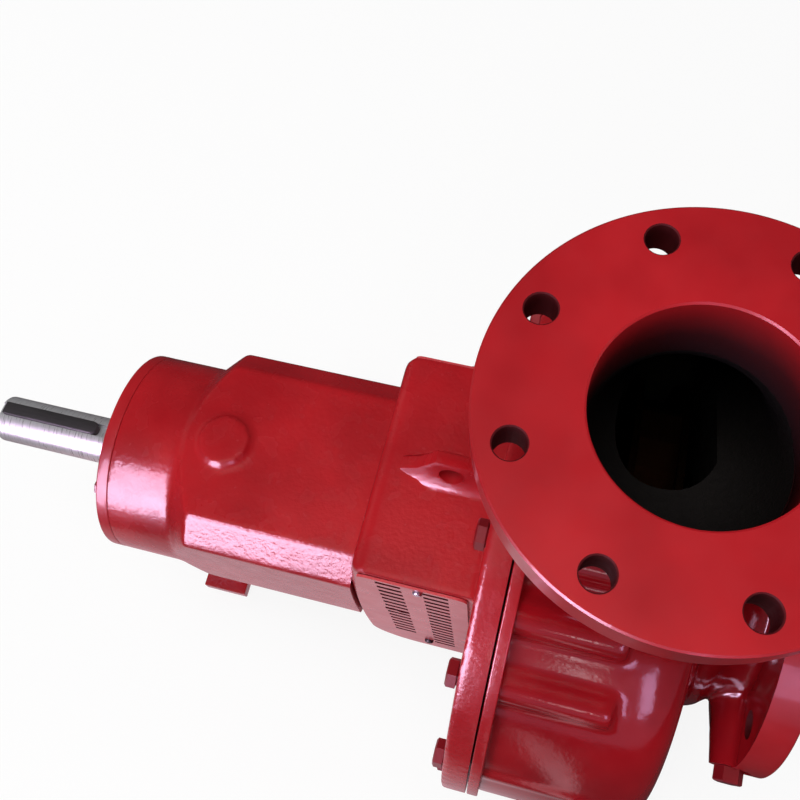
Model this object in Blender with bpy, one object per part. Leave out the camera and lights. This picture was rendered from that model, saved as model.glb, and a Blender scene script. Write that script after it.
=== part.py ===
"""Bare-shaft end-suction centrifugal pump on its own feet.

Pump axes: X is the shaft line, towards the suction flange, Z is up through the
discharge flange, and the two lines cross at the origin of the empty pump_axes.
"""

import math

import bmesh
import bpy
from mathutils import Matrix, Vector

# Fits
SEAM = 0.0003
SLIDE = 0.001
RUN_CLEAR = 0.006
ROUND = 40
SMALL_ROUND = 14

# Main sizes, from the shaft line and the discharge line
SHAFT_HEIGHT = 0.280
DISCHARGE_HEIGHT = 0.355
SUCTION_REACH = 0.137
DRIVE_REACH = 0.573
STUB_LENGTH = 0.1473

# Flanges
FLANGE_THICKNESS = 0.0265
DISCHARGE_RADIUS = 0.125
DISCHARGE_BORE = 0.063
DISCHARGE_CIRCLE = 0.105
DISCHARGE_HOLE = 0.0095
SUCTION_RADIUS = 0.1425
SUCTION_BORE = 0.075
SUCTION_CIRCLE = 0.120
SUCTION_HOLE = 0.011
FLANGE_HOLES = 8
HUB_WALL = 0.013
HUB_LENGTH = 0.030
SUCTION_HUB = 0.046
GAUGE_BOSS = 0.015

# Casing
WALL = 0.010
JOINT_REACH = 0.085
JOINT_RADIUS = 0.211
FLANGE_GAP = 0.0014
CASING_FLANGE = 0.0086
ADAPTER_FLANGE = 0.0195
RIM_RADIUS = 0.188
RIM_THICKNESS = 0.008
CHAMBER_RADIUS = 0.1655
BODY_RADIUS_LEAST = 0.190
BODY_RADIUS_MOST = 0.206
CHAMBER_FRONT = 0.040
CHANNEL_HALF = 0.030
CHANNEL_SHIFT = 0.008
CHANNEL_INNER = 0.150
TONGUE_RADIUS = 0.182
THROAT_RADIUS = 0.240
TONGUE_ANGLE = 30.0
THROAT_ANGLE = 290.0
NECK_RISE = 0.118
BOSSES = 12
BOSS_WIDTH = 0.031
BOSS_TOP = 0.2045
BOSS_END = 0.001
TONGUE_RIB_ANGLE = 29.0

# Feet
FOOT_SPAN = 0.500
FOOT_WIDTH = 0.075
FOOT_BACK = 0.035
FOOT_FRONT = 0.085
FOOT_THICKNESS = 0.018
FOOT_WEB = 0.028
FOOT_ROOT = 0.120
FOOT_ROOT_DROP = 0.115
FOOT_NECK = 0.155
FOOT_NECK_WIDTH = 0.030
FOOT_NECK_DROP = 0.060
FOOT_HOLE = 0.0095
FOOT_HOLE_PITCH = 0.080
FOOT_HOLE_INSET = 0.040

# Impeller
IMPELLER_RADIUS = 0.157
IMPELLER_WIDTH = 0.030
SHROUD = 0.005
EYE_RADIUS = 0.070
EYE_WALL = 0.007
HUB_RADIUS = 0.034
VANES = 6
VANE_THICKNESS = 0.006
VANE_SWEEP = 95.0
WEAR_RING = 0.007
WEAR_RING_LENGTH = 0.018
BACK_RING_LENGTH = 0.014
BACK_RING_RISE = 0.050
COVER_GAP = 0.025

# Shaft
SHAFT_RADIUS = 0.021
SEAT_RADIUS = 0.025
BODY_RADIUS = 0.0275
NOSE_RADIUS = 0.018
THREAD_RADIUS = 0.012
SLEEVE_WALL = 0.007
KEY_WIDTH = 0.012
KEY_HEIGHT = 0.008
KEY_DEPTH = 0.005
KEY_LENGTH = 0.092
KEY_INSET = 0.006
KEYWAY_LENGTH = 0.131
KEY_ANGLE = -9.0

# Lantern and bearing frame
LANTERN_BACK = 0.198
LANTERN_HEIGHT = 0.286
LANTERN_WIDTH = 0.1736
LANTERN_WALL = 0.011
LANTERN_EDGE = 0.005
LANTERN_BULGE = 0.0122
BULGE_LEVEL = -0.040
LANTERN_CORNER = 0.050
LUG_THICKNESS = 0.008
LUG_HEIGHT = 0.034
LUG_EYE = 0.0093
LUG_EYE_RISE = 0.0165
LUG_EYE_INSET = 0.057
LUG_START = 0.017
LUG_SLOPE = 0.028
LUG_CREST = 0.028
GUARD_THICKNESS = 0.002
GUARD_MARGIN = 0.006
GUARD_CORNER = 0.008
WINDOW_MARGIN = 0.018
SLOT_LENGTH = 0.019
SLOT_WIDTH = 0.0068
SLOT_PITCH = 0.0147
SLOT_TOP_MARGIN = 0.0125
SLOT_ROWS = (15, 17)
SLOT_SPACING = 0.0355
SLOT_EDGE = 0.0285
FRAME_REACH = DRIVE_REACH - STUB_LENGTH
FRAME_BORE = 0.058
DRUM_RADIUS = 0.0876
BOX_TOP = 0.090
BOX_FLAT = 0.0655
BOX_HALF = 0.0875
DRUM_LENGTH = 0.0554
BOX_KEEL = 0.055
PAD_INSET = 0.0912
PAD_RADIUS = 0.021
PAD_RISE = 0.005
CAP_THICKNESS = 0.0105
CAP_PLUG = 0.010
OIL_SEAL_RADIUS = 0.034
OIL_SEAL_WIDTH = 0.010
OIL_SEAL_INSET = 0.002
BEARING_WIDTH = 0.030
INNER_CAP_RADIUS = 0.068
INNER_CAP = 0.012
DEFLECTOR_RADIUS = 0.045
DEFLECTOR = 0.006
GLAND = 0.012
STUFFING_LENGTH = 0.055
STUFFING_WALL = 0.027

# Rear support foot
SUPPORT_INSET = 0.0257
SUPPORT_LENGTH = 0.048
SUPPORT_SPAN = 0.140
SUPPORT_LEG = 0.016
SUPPORT_LEG_SPAN = 0.090
SUPPORT_PLATE = 0.014

# Plugs
PLUG_RADIUS = 0.0115
PLUG_RISE = 0.012


def clear_scene():
    for old in list(bpy.data.objects):
        bpy.data.objects.remove(old, do_unlink=True)


def make_material(name, color, metallic, roughness):
    material = bpy.data.materials.new(name)
    material.use_nodes = True
    shader = material.node_tree.nodes["Principled BSDF"]
    shader.inputs["Base Color"].default_value = (*color, 1.0)
    shader.inputs["Metallic"].default_value = metallic
    shader.inputs["Roughness"].default_value = roughness
    material.diffuse_color = (*color, 1.0)
    return material


def red_paint(name):
    return make_material(name, (0.42, 0.012, 0.018), 0.0, 0.25)


def bright_steel(name):
    return make_material(name, (0.62, 0.62, 0.60), 1.0, 0.22)


def dark_steel(name):
    return make_material(name, (0.16, 0.16, 0.17), 1.0, 0.40)


def grey_iron(name):
    return make_material(name, (0.20, 0.19, 0.18), 0.6, 0.55)


def bronze(name):
    return make_material(name, (0.55, 0.33, 0.12), 1.0, 0.30)


def black_rubber(name):
    return make_material(name, (0.02, 0.02, 0.02), 0.0, 0.60)


def object_of(name, bm):
    bmesh.ops.remove_doubles(bm, verts=bm.verts, dist=1e-6)
    bmesh.ops.recalc_face_normals(bm, faces=bm.faces)
    mesh = bpy.data.meshes.new(name)
    bm.to_mesh(mesh)
    bm.free()
    obj = bpy.data.objects.new(name, mesh)
    bpy.context.scene.collection.objects.link(obj)
    return obj


def loft(name, rings):
    """A closed body through rings of the same number of points, capped at both ends."""
    bm = bmesh.new()
    rows = [[bm.verts.new(point) for point in ring] for ring in rings]
    count = len(rows[0])
    for first, second in zip(rows, rows[1:]):
        for i in range(count):
            j = (i + 1) % count
            bm.faces.new((first[i], first[j], second[j], second[i]))
    bm.faces.new(list(reversed(rows[0])))
    bm.faces.new(rows[-1])
    return object_of(name, bm)


def turned(name, profile, segments=ROUND):
    """A ring turned about X from a closed profile of (x, radius) points off the axis."""
    bm = bmesh.new()
    rows = []
    for k in range(segments):
        angle = 2 * math.pi * k / segments
        rows.append([bm.verts.new((x, r * math.cos(angle), r * math.sin(angle))) for x, r in profile])
    count = len(profile)
    for k in range(segments):
        first, second = rows[k], rows[(k + 1) % segments]
        for i in range(count):
            j = (i + 1) % count
            bm.faces.new((first[i], first[j], second[j], second[i]))
    return object_of(name, bm)


def stepped_bar(name, steps, segments=ROUND):
    """A solid bar along X through (x, radius) steps."""
    rings = []
    for x, r in steps:
        ring = []
        for k in range(segments):
            angle = 2 * math.pi * k / segments
            ring.append((x, r * math.cos(angle), r * math.sin(angle)))
        rings.append(ring)
    return loft(name, rings)


def prism(name, outline, low, high, axis):
    """An outline of two-dimensional points pushed along one axis from low to high."""
    def place(a, b, c):
        return {"x": (c, a, b), "y": (a, c, b), "z": (a, b, c)}[axis]
    return loft(name, [[place(a, b, c) for a, b in outline] for c in (low, high)])


def box(name, low, high):
    outline = [(low[0], low[1]), (high[0], low[1]), (high[0], high[1]), (low[0], high[1])]
    return prism(name, outline, low[2], high[2], "z")


def rod(name, centre, radius, low, high, axis, segments=SMALL_ROUND):
    outline = []
    for k in range(segments):
        angle = 2 * math.pi * (k + 0.5) / segments
        outline.append((centre[0] + radius * math.cos(angle), centre[1] + radius * math.sin(angle)))
    return prism(name, outline, low, high, axis)


def combine(body, tool, operation):
    """Bakes one exact Boolean into the body and removes the tool."""
    modifier = body.modifiers.new("combine", "BOOLEAN")
    modifier.operation = operation
    modifier.solver = "EXACT"
    modifier.object = tool
    graph = bpy.context.evaluated_depsgraph_get()
    baked = bpy.data.meshes.new_from_object(body.evaluated_get(graph))
    body.modifiers.remove(modifier)
    old = body.data
    body.data = baked
    bpy.data.meshes.remove(old)
    bpy.data.objects.remove(tool, do_unlink=True)
    return body


def cut(body, *tools):
    for tool in tools:
        combine(body, tool, "DIFFERENCE")
    return body


def join(body, *tools):
    for tool in tools:
        combine(body, tool, "UNION")
    return body


def turn_about_x(obj, degrees):
    obj.data.transform(Matrix.Rotation(math.radians(degrees), 4, "X"))
    return obj


def bolt_points(circle, count=FLANGE_HOLES):
    for k in range(count):
        angle = 2 * math.pi * (k + 0.5) / count
        yield circle * math.cos(angle), circle * math.sin(angle)


def superellipse(count, power):
    for k in range(count):
        angle = 2 * math.pi * k / count
        c, s = math.cos(angle), math.sin(angle)
        a = math.copysign(abs(c) ** (2 / power), c)
        b = math.copysign(abs(s) ** (2 / power), s)
        yield a, b


def bezier(p0, p1, p2, p3, t):
    u = 1 - t
    return p0 * u**3 + p1 * (3 * t * u * u) + p2 * (3 * t * t * u) + p3 * t**3


def bezier_slope(p0, p1, p2, p3, t):
    u = 1 - t
    return ((p1 - p0) * (u * u) + (p2 - p1) * (2 * t * u) + (p3 - p2) * (t * t)).normalized()


def spiral_rings(grow, count=20):
    """Rings of the spiral channel from the tongue to the throat, then of the neck up to its flange.

    The angle runs from the top towards -Y, the way the impeller turns.
    """
    rings = []
    stations = 24
    for k in range(stations + 1):
        share = k / stations
        degrees = TONGUE_ANGLE + (THROAT_ANGLE - TONGUE_ANGLE) * share
        angle = math.radians(degrees)
        out = Vector((0, -math.sin(angle), math.cos(angle)))
        outer = volute_radius(degrees, grow)
        inner = CHANNEL_INNER - grow
        middle = (outer + inner) / 2
        tall = (outer - inner) / 2
        wide = CHANNEL_HALF + 0.006 * share + grow
        ring = []
        for a, b in superellipse(count, 2.8):
            ring.append(out * (middle + a * tall) + Vector((CHANNEL_SHIFT + b * wide, 0, 0)))
        rings.append(ring)
    start = out * middle
    heading = Vector((0, -math.cos(angle), -math.sin(angle)))
    top = Vector((0, 0, DISCHARGE_HEIGHT - FLANGE_THICKNESS - HUB_LENGTH - SEAM))
    path = (start, start + heading * NECK_RISE, top - Vector((0, 0, NECK_RISE * 0.8)), top)
    steps = 12
    for k in range(1, steps + 1):
        t = k / steps
        centre = bezier(*path, t)
        along = bezier_slope(*path, t)
        side = Vector((0, -along.z, along.y))
        if side.dot(out) < 0:
            side = -side
        ease = t * t * (3 - 2 * t)
        high = tall + (DISCHARGE_BORE + grow - tall) * ease
        broad = wide + (DISCHARGE_BORE + grow - wide) * ease
        ring = []
        for a, b in superellipse(count, 2.8 - 0.8 * ease):
            shift = CHANNEL_SHIFT * (1 - ease) + b * broad
            ring.append(centre + side * (a * high) + Vector((shift, 0, 0)))
        rings.append(ring)
    return rings


def foot(side):
    """One casing foot: a pad on the ground and a web up into the casing."""
    outer = side * FOOT_SPAN / 2
    inner = side * (FOOT_SPAN / 2 - FOOT_WIDTH)
    ground = -SHAFT_HEIGHT
    top = ground + FOOT_THICKNESS
    low, high = sorted((outer, inner))
    pad = box("pad", (-FOOT_BACK, low, ground), (FOOT_FRONT, high, top))
    middle = (FOOT_FRONT - FOOT_BACK) / 2
    outline = [
        (side * FOOT_ROOT, -FOOT_ROOT_DROP),
        (side * FOOT_NECK, -FOOT_NECK_DROP),
        (side * (FOOT_NECK + FOOT_NECK_WIDTH), -FOOT_NECK_DROP),
        (outer - side * 0.012, top - 0.004),
        (inner + side * 0.002, top - 0.004),
    ]
    web = prism("web", outline, middle - FOOT_WEB / 2, middle + FOOT_WEB / 2, "x")
    join(pad, web)
    hole_y = side * (FOOT_SPAN / 2 - FOOT_HOLE_INSET)
    for dx in (-FOOT_HOLE_PITCH / 2, FOOT_HOLE_PITCH / 2):
        cut(pad, rod("hole", (middle + dx, hole_y), FOOT_HOLE, ground - 0.01, top + 0.01, "z"))
    return pad


def casing_face():
    """The rear face of the casing's joint flange."""
    return -JOINT_REACH + FLANGE_GAP


def rear_edge():
    """Where the casing body starts, in front of its joint flange."""
    return casing_face() + CASING_FLANGE + SEAM


def volute_radius(angle, grow):
    """The outer radius of the spiral at an angle in degrees from the top towards -Y."""
    share = (angle - TONGUE_ANGLE) / (THROAT_ANGLE - TONGUE_ANGLE)
    return TONGUE_RADIUS + (THROAT_RADIUS - TONGUE_RADIUS) * share + grow


def rear_body():
    """The casing between its joint flange and the spiral: it grows with the spiral up to the flange."""
    outline = []
    for k in range(ROUND):
        degrees = 360 * k / ROUND
        radius = BODY_RADIUS_LEAST
        if TONGUE_ANGLE < degrees < THROAT_ANGLE:
            radius = min(max(volute_radius(degrees, WALL), BODY_RADIUS_LEAST), BODY_RADIUS_MOST)
        angle = math.radians(degrees)
        outline.append((-radius * math.sin(angle), radius * math.cos(angle)))
    return prism("rear_body", outline, rear_edge(), BOSS_END, "x")


def bolt_boss(angle):
    """A rounded bolt boss along the rear of the casing, at an angle from the top towards -Y."""
    half = BOSS_WIDTH / 2
    root = CHAMBER_RADIUS + 0.003
    outline = [(half, root)]
    for k in range(7):
        turn = math.pi * k / 6
        outline.append((half * math.cos(turn), BOSS_TOP - half + half * math.sin(turn)))
    outline.append((-half, root))
    body = prism("boss", outline, rear_edge(), BOSS_END, "x")
    return turn_about_x(body, angle)


def build_volute_casing():
    """The spiral shell with its necks, rear rim, bolt bosses and two feet, one iron casting."""
    back = rear_edge()
    front = CHAMBER_FRONT + WALL
    neck = SUCTION_BORE + HUB_WALL
    neck_end = SUCTION_REACH - FLANGE_THICKNESS - SUCTION_HUB - SEAM
    body = loft("volute_casing", spiral_rings(WALL))
    outer = stepped_bar("drum", [
        (back, CHAMBER_RADIUS + WALL),
        (front - 0.004, CHAMBER_RADIUS + WALL),
        (front + 0.005, CHAMBER_RADIUS - 0.025),
        (neck_end - 0.002, neck + 0.022),
        (neck_end, neck + 0.016),
    ])
    join(body, outer, rear_body())
    for k in range(BOSSES):
        join(body, bolt_boss(360 * (k + 0.5) / BOSSES))
    join(body, bolt_boss(TONGUE_RIB_ANGLE))
    for side in (-1, 1):
        join(body, foot(side))
    cut(body, loft("channel", spiral_rings(0.0)))
    eye = EYE_RADIUS + EYE_WALL + SLIDE + WEAR_RING + SEAM
    passage = stepped_bar("passage", [
        (back - 0.01, CHAMBER_RADIUS),
        (CHAMBER_FRONT, CHAMBER_RADIUS),
        (CHAMBER_FRONT, eye),
        (CHAMBER_FRONT + 0.021, eye),
        (CHAMBER_FRONT + 0.021, SUCTION_BORE),
        (SUCTION_REACH, SUCTION_BORE),
    ])
    cut(body, passage)
    top = DISCHARGE_HEIGHT - FLANGE_THICKNESS - HUB_LENGTH - SEAM
    cut(body, rod("mouth", (0, 0), DISCHARGE_BORE, top - 0.006, top + 0.05, "z", ROUND))
    body.data.materials.append(red_paint("casing_paint"))
    return body


def flange(name, radius, bore, circle, hole, hub, reach):
    """A drilled flange, along X with its face at reach; hub lists the (x, radius) steps of its neck."""
    back = reach - FLANGE_THICKNESS
    body = turned(name, [(hub[0][0], bore), (reach, bore), (reach, radius), (back, radius)] + hub[::-1])
    for y, z in bolt_points(circle):
        cut(body, rod("hole", (y, z), hole, back - 0.01, reach + 0.01, "x"))
    return body


def build_discharge_flange():
    back = DISCHARGE_HEIGHT - FLANGE_THICKNESS
    neck = DISCHARGE_BORE + WALL
    hub = [(back - HUB_LENGTH, neck), (back - 0.006, neck), (back, neck + 0.004)]
    body = flange("discharge_flange", DISCHARGE_RADIUS, DISCHARGE_BORE, DISCHARGE_CIRCLE,
                  DISCHARGE_HOLE, hub, DISCHARGE_HEIGHT)
    body.data.transform(Matrix.Rotation(math.radians(-90), 4, "Y"))
    body.data.materials.append(red_paint("discharge_paint"))
    return body


def gauge_seat():
    """How far from the shaft line the gauge plug's boss ends."""
    return SUCTION_RADIUS - 0.002


def build_suction_flange():
    """The suction flange with its neck and the boss of the gauge plug on the near side."""
    back = SUCTION_REACH - FLANGE_THICKNESS
    neck = SUCTION_BORE + HUB_WALL
    start = back - SUCTION_HUB
    hub = [(start, neck + 0.016), (start + 0.012, neck + 0.013), (start + 0.022, neck + 0.004),
           (start + 0.030, neck), (back - 0.006, neck), (back, neck + 0.004)]
    body = flange("suction_flange", SUCTION_RADIUS, SUCTION_BORE, SUCTION_CIRCLE,
                  SUCTION_HOLE, hub, SUCTION_REACH)
    rings = []
    for y, radius in ((-neck + 0.005, GAUGE_BOSS + 0.008), (-gauge_seat(), GAUGE_BOSS)):
        ring = []
        for k in range(20):
            angle = 2 * math.pi * k / 20
            ring.append((back + radius * math.cos(angle), y, radius * math.sin(angle)))
        rings.append(ring)
    join(body, loft("gauge_boss", rings))
    cut(body, rod("spot_face", (back, 0), GAUGE_BOSS, -SUCTION_RADIUS - 0.01, -gauge_seat(), "y", 20))
    body.data.materials.append(red_paint("suction_paint"))
    return body


def build_casing_flange():
    back = casing_face()
    body = turned("casing_flange", [
        (back, CHAMBER_RADIUS),
        (back + CASING_FLANGE, CHAMBER_RADIUS),
        (back + CASING_FLANGE, JOINT_RADIUS),
        (back, JOINT_RADIUS),
    ])
    body.data.materials.append(red_paint("joint_paint"))
    return body


def cover_face():
    """The face of the casing cover behind the impeller."""
    return -IMPELLER_WIDTH / 2 - SHROUD - COVER_GAP


def build_casing_cover():
    """The cover behind the impeller: its rim sits in the lantern, held by the casing's flange."""
    front = casing_face() - SEAM
    back = front - RIM_THICKNESS
    inside = CHAMBER_RADIUS - SEAM
    bore = NOSE_RADIUS + 0.003 + SEAM + SLEEVE_WALL + SLIDE
    face = cover_face()
    dish = face - 0.015
    tail = -JOINT_REACH - STUFFING_LENGTH
    body = turned("casing_cover", [
        (back, inside - 0.014),
        (back, RIM_RADIUS),
        (front, RIM_RADIUS),
        (front, inside),
        (face, inside),
        (face, bore),
        (tail, bore),
        (tail, bore + STUFFING_WALL),
        (back + 0.010, bore + STUFFING_WALL),
        (dish, bore + STUFFING_WALL + 0.015),
        (dish, inside - 0.014),
    ])
    body.data.materials.append(grey_iron("cover_iron"))
    return body


def build_seal_gland():
    """The two-eared gland that closes the stuffing box round the sleeve."""
    bore = NOSE_RADIUS + 0.003 + SEAM + SLEEVE_WALL + SLIDE
    high = -JOINT_REACH - STUFFING_LENGTH - SEAM
    low = high - GLAND
    body = rod("seal_gland", (0, 0), bore + 0.014, low, high, "x", 32)
    ear = bore + STUFFING_WALL - 0.009
    for side in (-1, 1):
        join(body, rod("ear", (side * ear, 0), 0.010, low, high, "x"))
        bridge = sorted((side * (bore + 0.004), side * ear))
        join(body, box("bridge", (low, bridge[0], -0.0088), (high, bridge[1], 0.0088)))
    cut(body, rod("bore", (0, 0), bore, low - 0.01, high + 0.01, "x", 32))
    body.data.materials.append(bronze("gland_bronze"))
    return body


def build_wear_rings():
    inner = EYE_RADIUS + EYE_WALL + SLIDE
    low = CHAMBER_FRONT + SLIDE
    front = turned("suction_wear_ring", [
        (low, inner),
        (low + WEAR_RING_LENGTH, inner),
        (low + WEAR_RING_LENGTH, inner + WEAR_RING),
        (low, inner + WEAR_RING),
    ])
    front.data.materials.append(bronze("suction_ring_bronze"))
    face = cover_face()
    back_inner = HUB_RADIUS + BACK_RING_RISE
    back = turned("back_wear_ring", [
        (face + SEAM, back_inner),
        (face + BACK_RING_LENGTH, back_inner),
        (face + BACK_RING_LENGTH, back_inner + WEAR_RING),
        (face + SEAM, back_inner + WEAR_RING),
    ])
    back.data.materials.append(bronze("back_ring_bronze"))
    return [front, back]


def vane(index, region_reach):
    """One backward-curved blade, pushed along X from shroud to shroud."""
    inner, outer = HUB_RADIUS + 0.022, IMPELLER_RADIUS - 0.0008
    points = []
    steps = 10
    for k in range(steps + 1):
        share = k / steps
        radius = inner + (outer - inner) * share
        angle = -math.radians(VANE_SWEEP) * share**0.8 + 2 * math.pi * index / VANES
        points.append((radius, angle))
    half = VANE_THICKNESS / 2
    left = [(r, a + half / r) for r, a in points]
    right = [(r, a - half / r) for r, a in reversed(points)]
    outline = [(-r * math.sin(a), r * math.cos(a)) for r, a in left + right]
    return prism("vane", outline, -IMPELLER_WIDTH / 2 - SHROUD / 2, region_reach, "x")


def build_impeller():
    """The closed impeller: back shroud and hub, front shroud with its eye, and curved vanes."""
    half = IMPELLER_WIDTH / 2
    bore = NOSE_RADIUS + SEAM
    hub_back = -half - SHROUD - 0.020
    eye = EYE_RADIUS + EYE_WALL
    eye_end = CHAMBER_FRONT + 0.016
    ring = HUB_RADIUS + BACK_RING_RISE - SLIDE
    body = turned("impeller", [
        (hub_back, bore),
        (hub_back, HUB_RADIUS),
        (-half - SHROUD, HUB_RADIUS + 0.002),
        (-half - SHROUD, ring - 0.008),
        (-half - SHROUD - 0.016, ring - 0.008),
        (-half - SHROUD - 0.016, ring),
        (-half - SHROUD, ring),
        (-half - SHROUD, IMPELLER_RADIUS),
        (-half, IMPELLER_RADIUS),
        (-half + 0.001, 0.66 * IMPELLER_RADIUS),
        (-half + 0.007, HUB_RADIUS + 0.026),
        (half - 0.006, HUB_RADIUS),
        (half + 0.012, HUB_RADIUS - 0.006),
        (half + 0.012, bore),
    ])
    rise = eye_end - half
    front = turned("front_shroud", [
        (half, IMPELLER_RADIUS),
        (half + 0.002, 0.83 * IMPELLER_RADIUS),
        (half + 0.008, 0.63 * IMPELLER_RADIUS),
        (half + 0.5 * rise, EYE_RADIUS),
        (eye_end, EYE_RADIUS),
        (eye_end, eye),
        (half + 0.5 * rise, eye),
        (half + 0.008 + SHROUD, 0.63 * IMPELLER_RADIUS + 0.002),
        (half + 0.002 + SHROUD, 0.83 * IMPELLER_RADIUS),
        (half + SHROUD, IMPELLER_RADIUS),
    ])
    middle = half + SHROUD / 2
    region = [
        (-half - SHROUD / 2, HUB_RADIUS + 0.004),
        (-half - SHROUD / 2, IMPELLER_RADIUS - 0.0005),
        (middle, IMPELLER_RADIUS - 0.0005),
        (middle + 0.002, 0.83 * IMPELLER_RADIUS),
        (middle + 0.008, 0.63 * IMPELLER_RADIUS),
        (half + 0.5 * rise, EYE_RADIUS + EYE_WALL / 2),
        (half + 0.4 * rise, EYE_RADIUS - 0.004),
        (half - 0.004, HUB_RADIUS + 0.004),
    ]
    for index in range(VANES):
        blade = vane(index, eye_end)
        combine(blade, turned("region", region), "INTERSECT")
        join(front, blade)
    join(body, front)
    body.data.materials.append(bronze("impeller_bronze"))
    return body


def build_shaft():
    """The stepped shaft, from the keyed drive end to the thread of the impeller nut."""
    end = -DRIVE_REACH
    cap = -FRAME_REACH
    lantern = -LANTERN_BACK
    hub_back = -IMPELLER_WIDTH / 2 - SHROUD - 0.020
    body = stepped_bar("shaft", [
        (end, SHAFT_RADIUS - 0.003),
        (end + 0.003, SHAFT_RADIUS),
        (cap + CAP_PLUG, SHAFT_RADIUS),
        (cap + CAP_PLUG, SEAT_RADIUS),
        (cap + CAP_PLUG + BEARING_WIDTH + 0.012, SEAT_RADIUS),
        (cap + CAP_PLUG + BEARING_WIDTH + 0.012, BODY_RADIUS),
        (lantern - BEARING_WIDTH - 0.027, BODY_RADIUS),
        (lantern - BEARING_WIDTH - 0.027, SEAT_RADIUS),
        (lantern - 0.012, SEAT_RADIUS),
        (lantern - 0.012, NOSE_RADIUS + 0.003),
        (hub_back, NOSE_RADIUS + 0.003),
        (hub_back, NOSE_RADIUS),
        (IMPELLER_WIDTH / 2 + 0.012, NOSE_RADIUS),
        (IMPELLER_WIDTH / 2 + 0.012, THREAD_RADIUS),
        (IMPELLER_WIDTH / 2 + 0.030, THREAD_RADIUS),
    ], 32)
    bottom = SHAFT_RADIUS - KEY_DEPTH
    way = key_shape("way", end - 0.01, end + KEYWAY_LENGTH, bottom, 0.04, KEY_WIDTH / 2)
    cut(body, way)
    body.data.materials.append(bright_steel("shaft_steel"))
    return body


def key_shape(name, low, high, bottom, top, half):
    """A key or keyway along X with a round inner end."""
    outline = [(low, -half), (high - half, -half)]
    for k in range(1, 8):
        turn = math.pi * k / 8
        outline.append((high - half + half * math.sin(turn), -half * math.cos(turn)))
    outline += [(high - half, half), (low, half)]
    return turn_about_x(prism(name, outline, bottom, top, "z"), KEY_ANGLE)


def build_shaft_key():
    end = -DRIVE_REACH
    bottom = SHAFT_RADIUS - KEY_DEPTH + SEAM
    low = end + KEY_INSET
    body = key_shape("shaft_key", low, low + KEY_LENGTH, bottom, bottom + KEY_HEIGHT, KEY_WIDTH / 2 - SEAM)
    body.data.materials.append(dark_steel("key_steel"))
    return body


def build_shaft_sleeve():
    inner = NOSE_RADIUS + 0.003 + SEAM
    outer = inner + SLEEVE_WALL
    high = -IMPELLER_WIDTH / 2 - SHROUD - 0.020 - SEAM
    low = -JOINT_REACH - STUFFING_LENGTH - GLAND - 0.006
    body = turned("shaft_sleeve", [(low, inner), (high, inner), (high, outer), (low, outer)], 32)
    body.data.materials.append(bright_steel("sleeve_steel"))
    return body


def build_deflector():
    low = -LANTERN_BACK + INNER_CAP + RUN_CLEAR
    inner = NOSE_RADIUS + 0.003 + SEAM
    body = turned("deflector", [
        (low, inner),
        (low + DEFLECTOR, inner),
        (low + DEFLECTOR, inner + 0.010),
        (low + 0.003, DEFLECTOR_RADIUS),
        (low, DEFLECTOR_RADIUS),
    ], 32)
    body.data.materials.append(black_rubber("deflector_rubber"))
    return body


def build_impeller_nut():
    start = IMPELLER_WIDTH / 2 + 0.012 + SEAM
    width = HUB_RADIUS - 0.008
    body = stepped_bar("impeller_nut", [
        (start, width),
        (start + 0.010, width - 0.001),
        (start + 0.019, width - 0.007),
    ], 6)
    cut(body, rod("thread", (0, 0), THREAD_RADIUS + SEAM, start - 0.01, start + 0.03, "x", 32))
    body.data.materials.append(bronze("nut_bronze"))
    return body


def arc(centre, radius, start, end, steps):
    """Points of an arc, with its angles in degrees."""
    for k in range(steps + 1):
        angle = math.radians(start + (end - start) * k / steps)
        yield centre[0] + radius * math.cos(angle), centre[1] + radius * math.sin(angle)


def bulge_reach(level):
    """How far the lantern's bulging back reaches at a height, before its corners."""
    top = LANTERN_HEIGHT / 2 - BULGE_LEVEL
    return LANTERN_BACK + LANTERN_BULGE * (1 - ((level - BULGE_LEVEL) / top) ** 2)


def side_outline(front, inset, corner):
    """The lantern's side view: a bulging back, a large round corner below and two small ones in front."""
    roof = LANTERN_HEIGHT / 2 - inset
    floor = -roof
    points = [(front, roof)]
    if corner:
        points = list(arc((front - corner, roof - corner), corner, 0, 90, 3))
    turn = LANTERN_CORNER - inset
    middle = floor + turn
    steps = 6
    for k in range(steps + 1):
        level = roof + (middle - roof) * k / steps
        points.append((inset - bulge_reach(level), level))
    centre = (points[-1][0] + turn, middle)
    points += list(arc(centre, turn, 180, 270, 8))[1:]
    if corner:
        return points + list(arc((front - corner, floor + corner), corner, -90, 0, 3))
    return points + [(front, floor)]


def lantern_block(name, inset, high, edge):
    """The lantern's side view pushed through its width, with rounded long edges."""
    half = LANTERN_WIDTH / 2 - inset
    block = prism(name, side_outline(high, inset, 0.0), -half, half, "y")
    roof = LANTERN_HEIGHT / 2 - inset
    outline = []
    for start, cy, cz in ((0, 1, 1), (90, -1, 1), (180, -1, -1), (270, 1, -1)):
        centre = (cy * (half - edge), cz * (roof - edge))
        outline += list(arc(centre, edge, start, start + 90, 4))
    sleeve = prism("sleeve", outline, -1.3 * LANTERN_BACK, high + 0.01, "x")
    return combine(block, sleeve, "INTERSECT")


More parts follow.
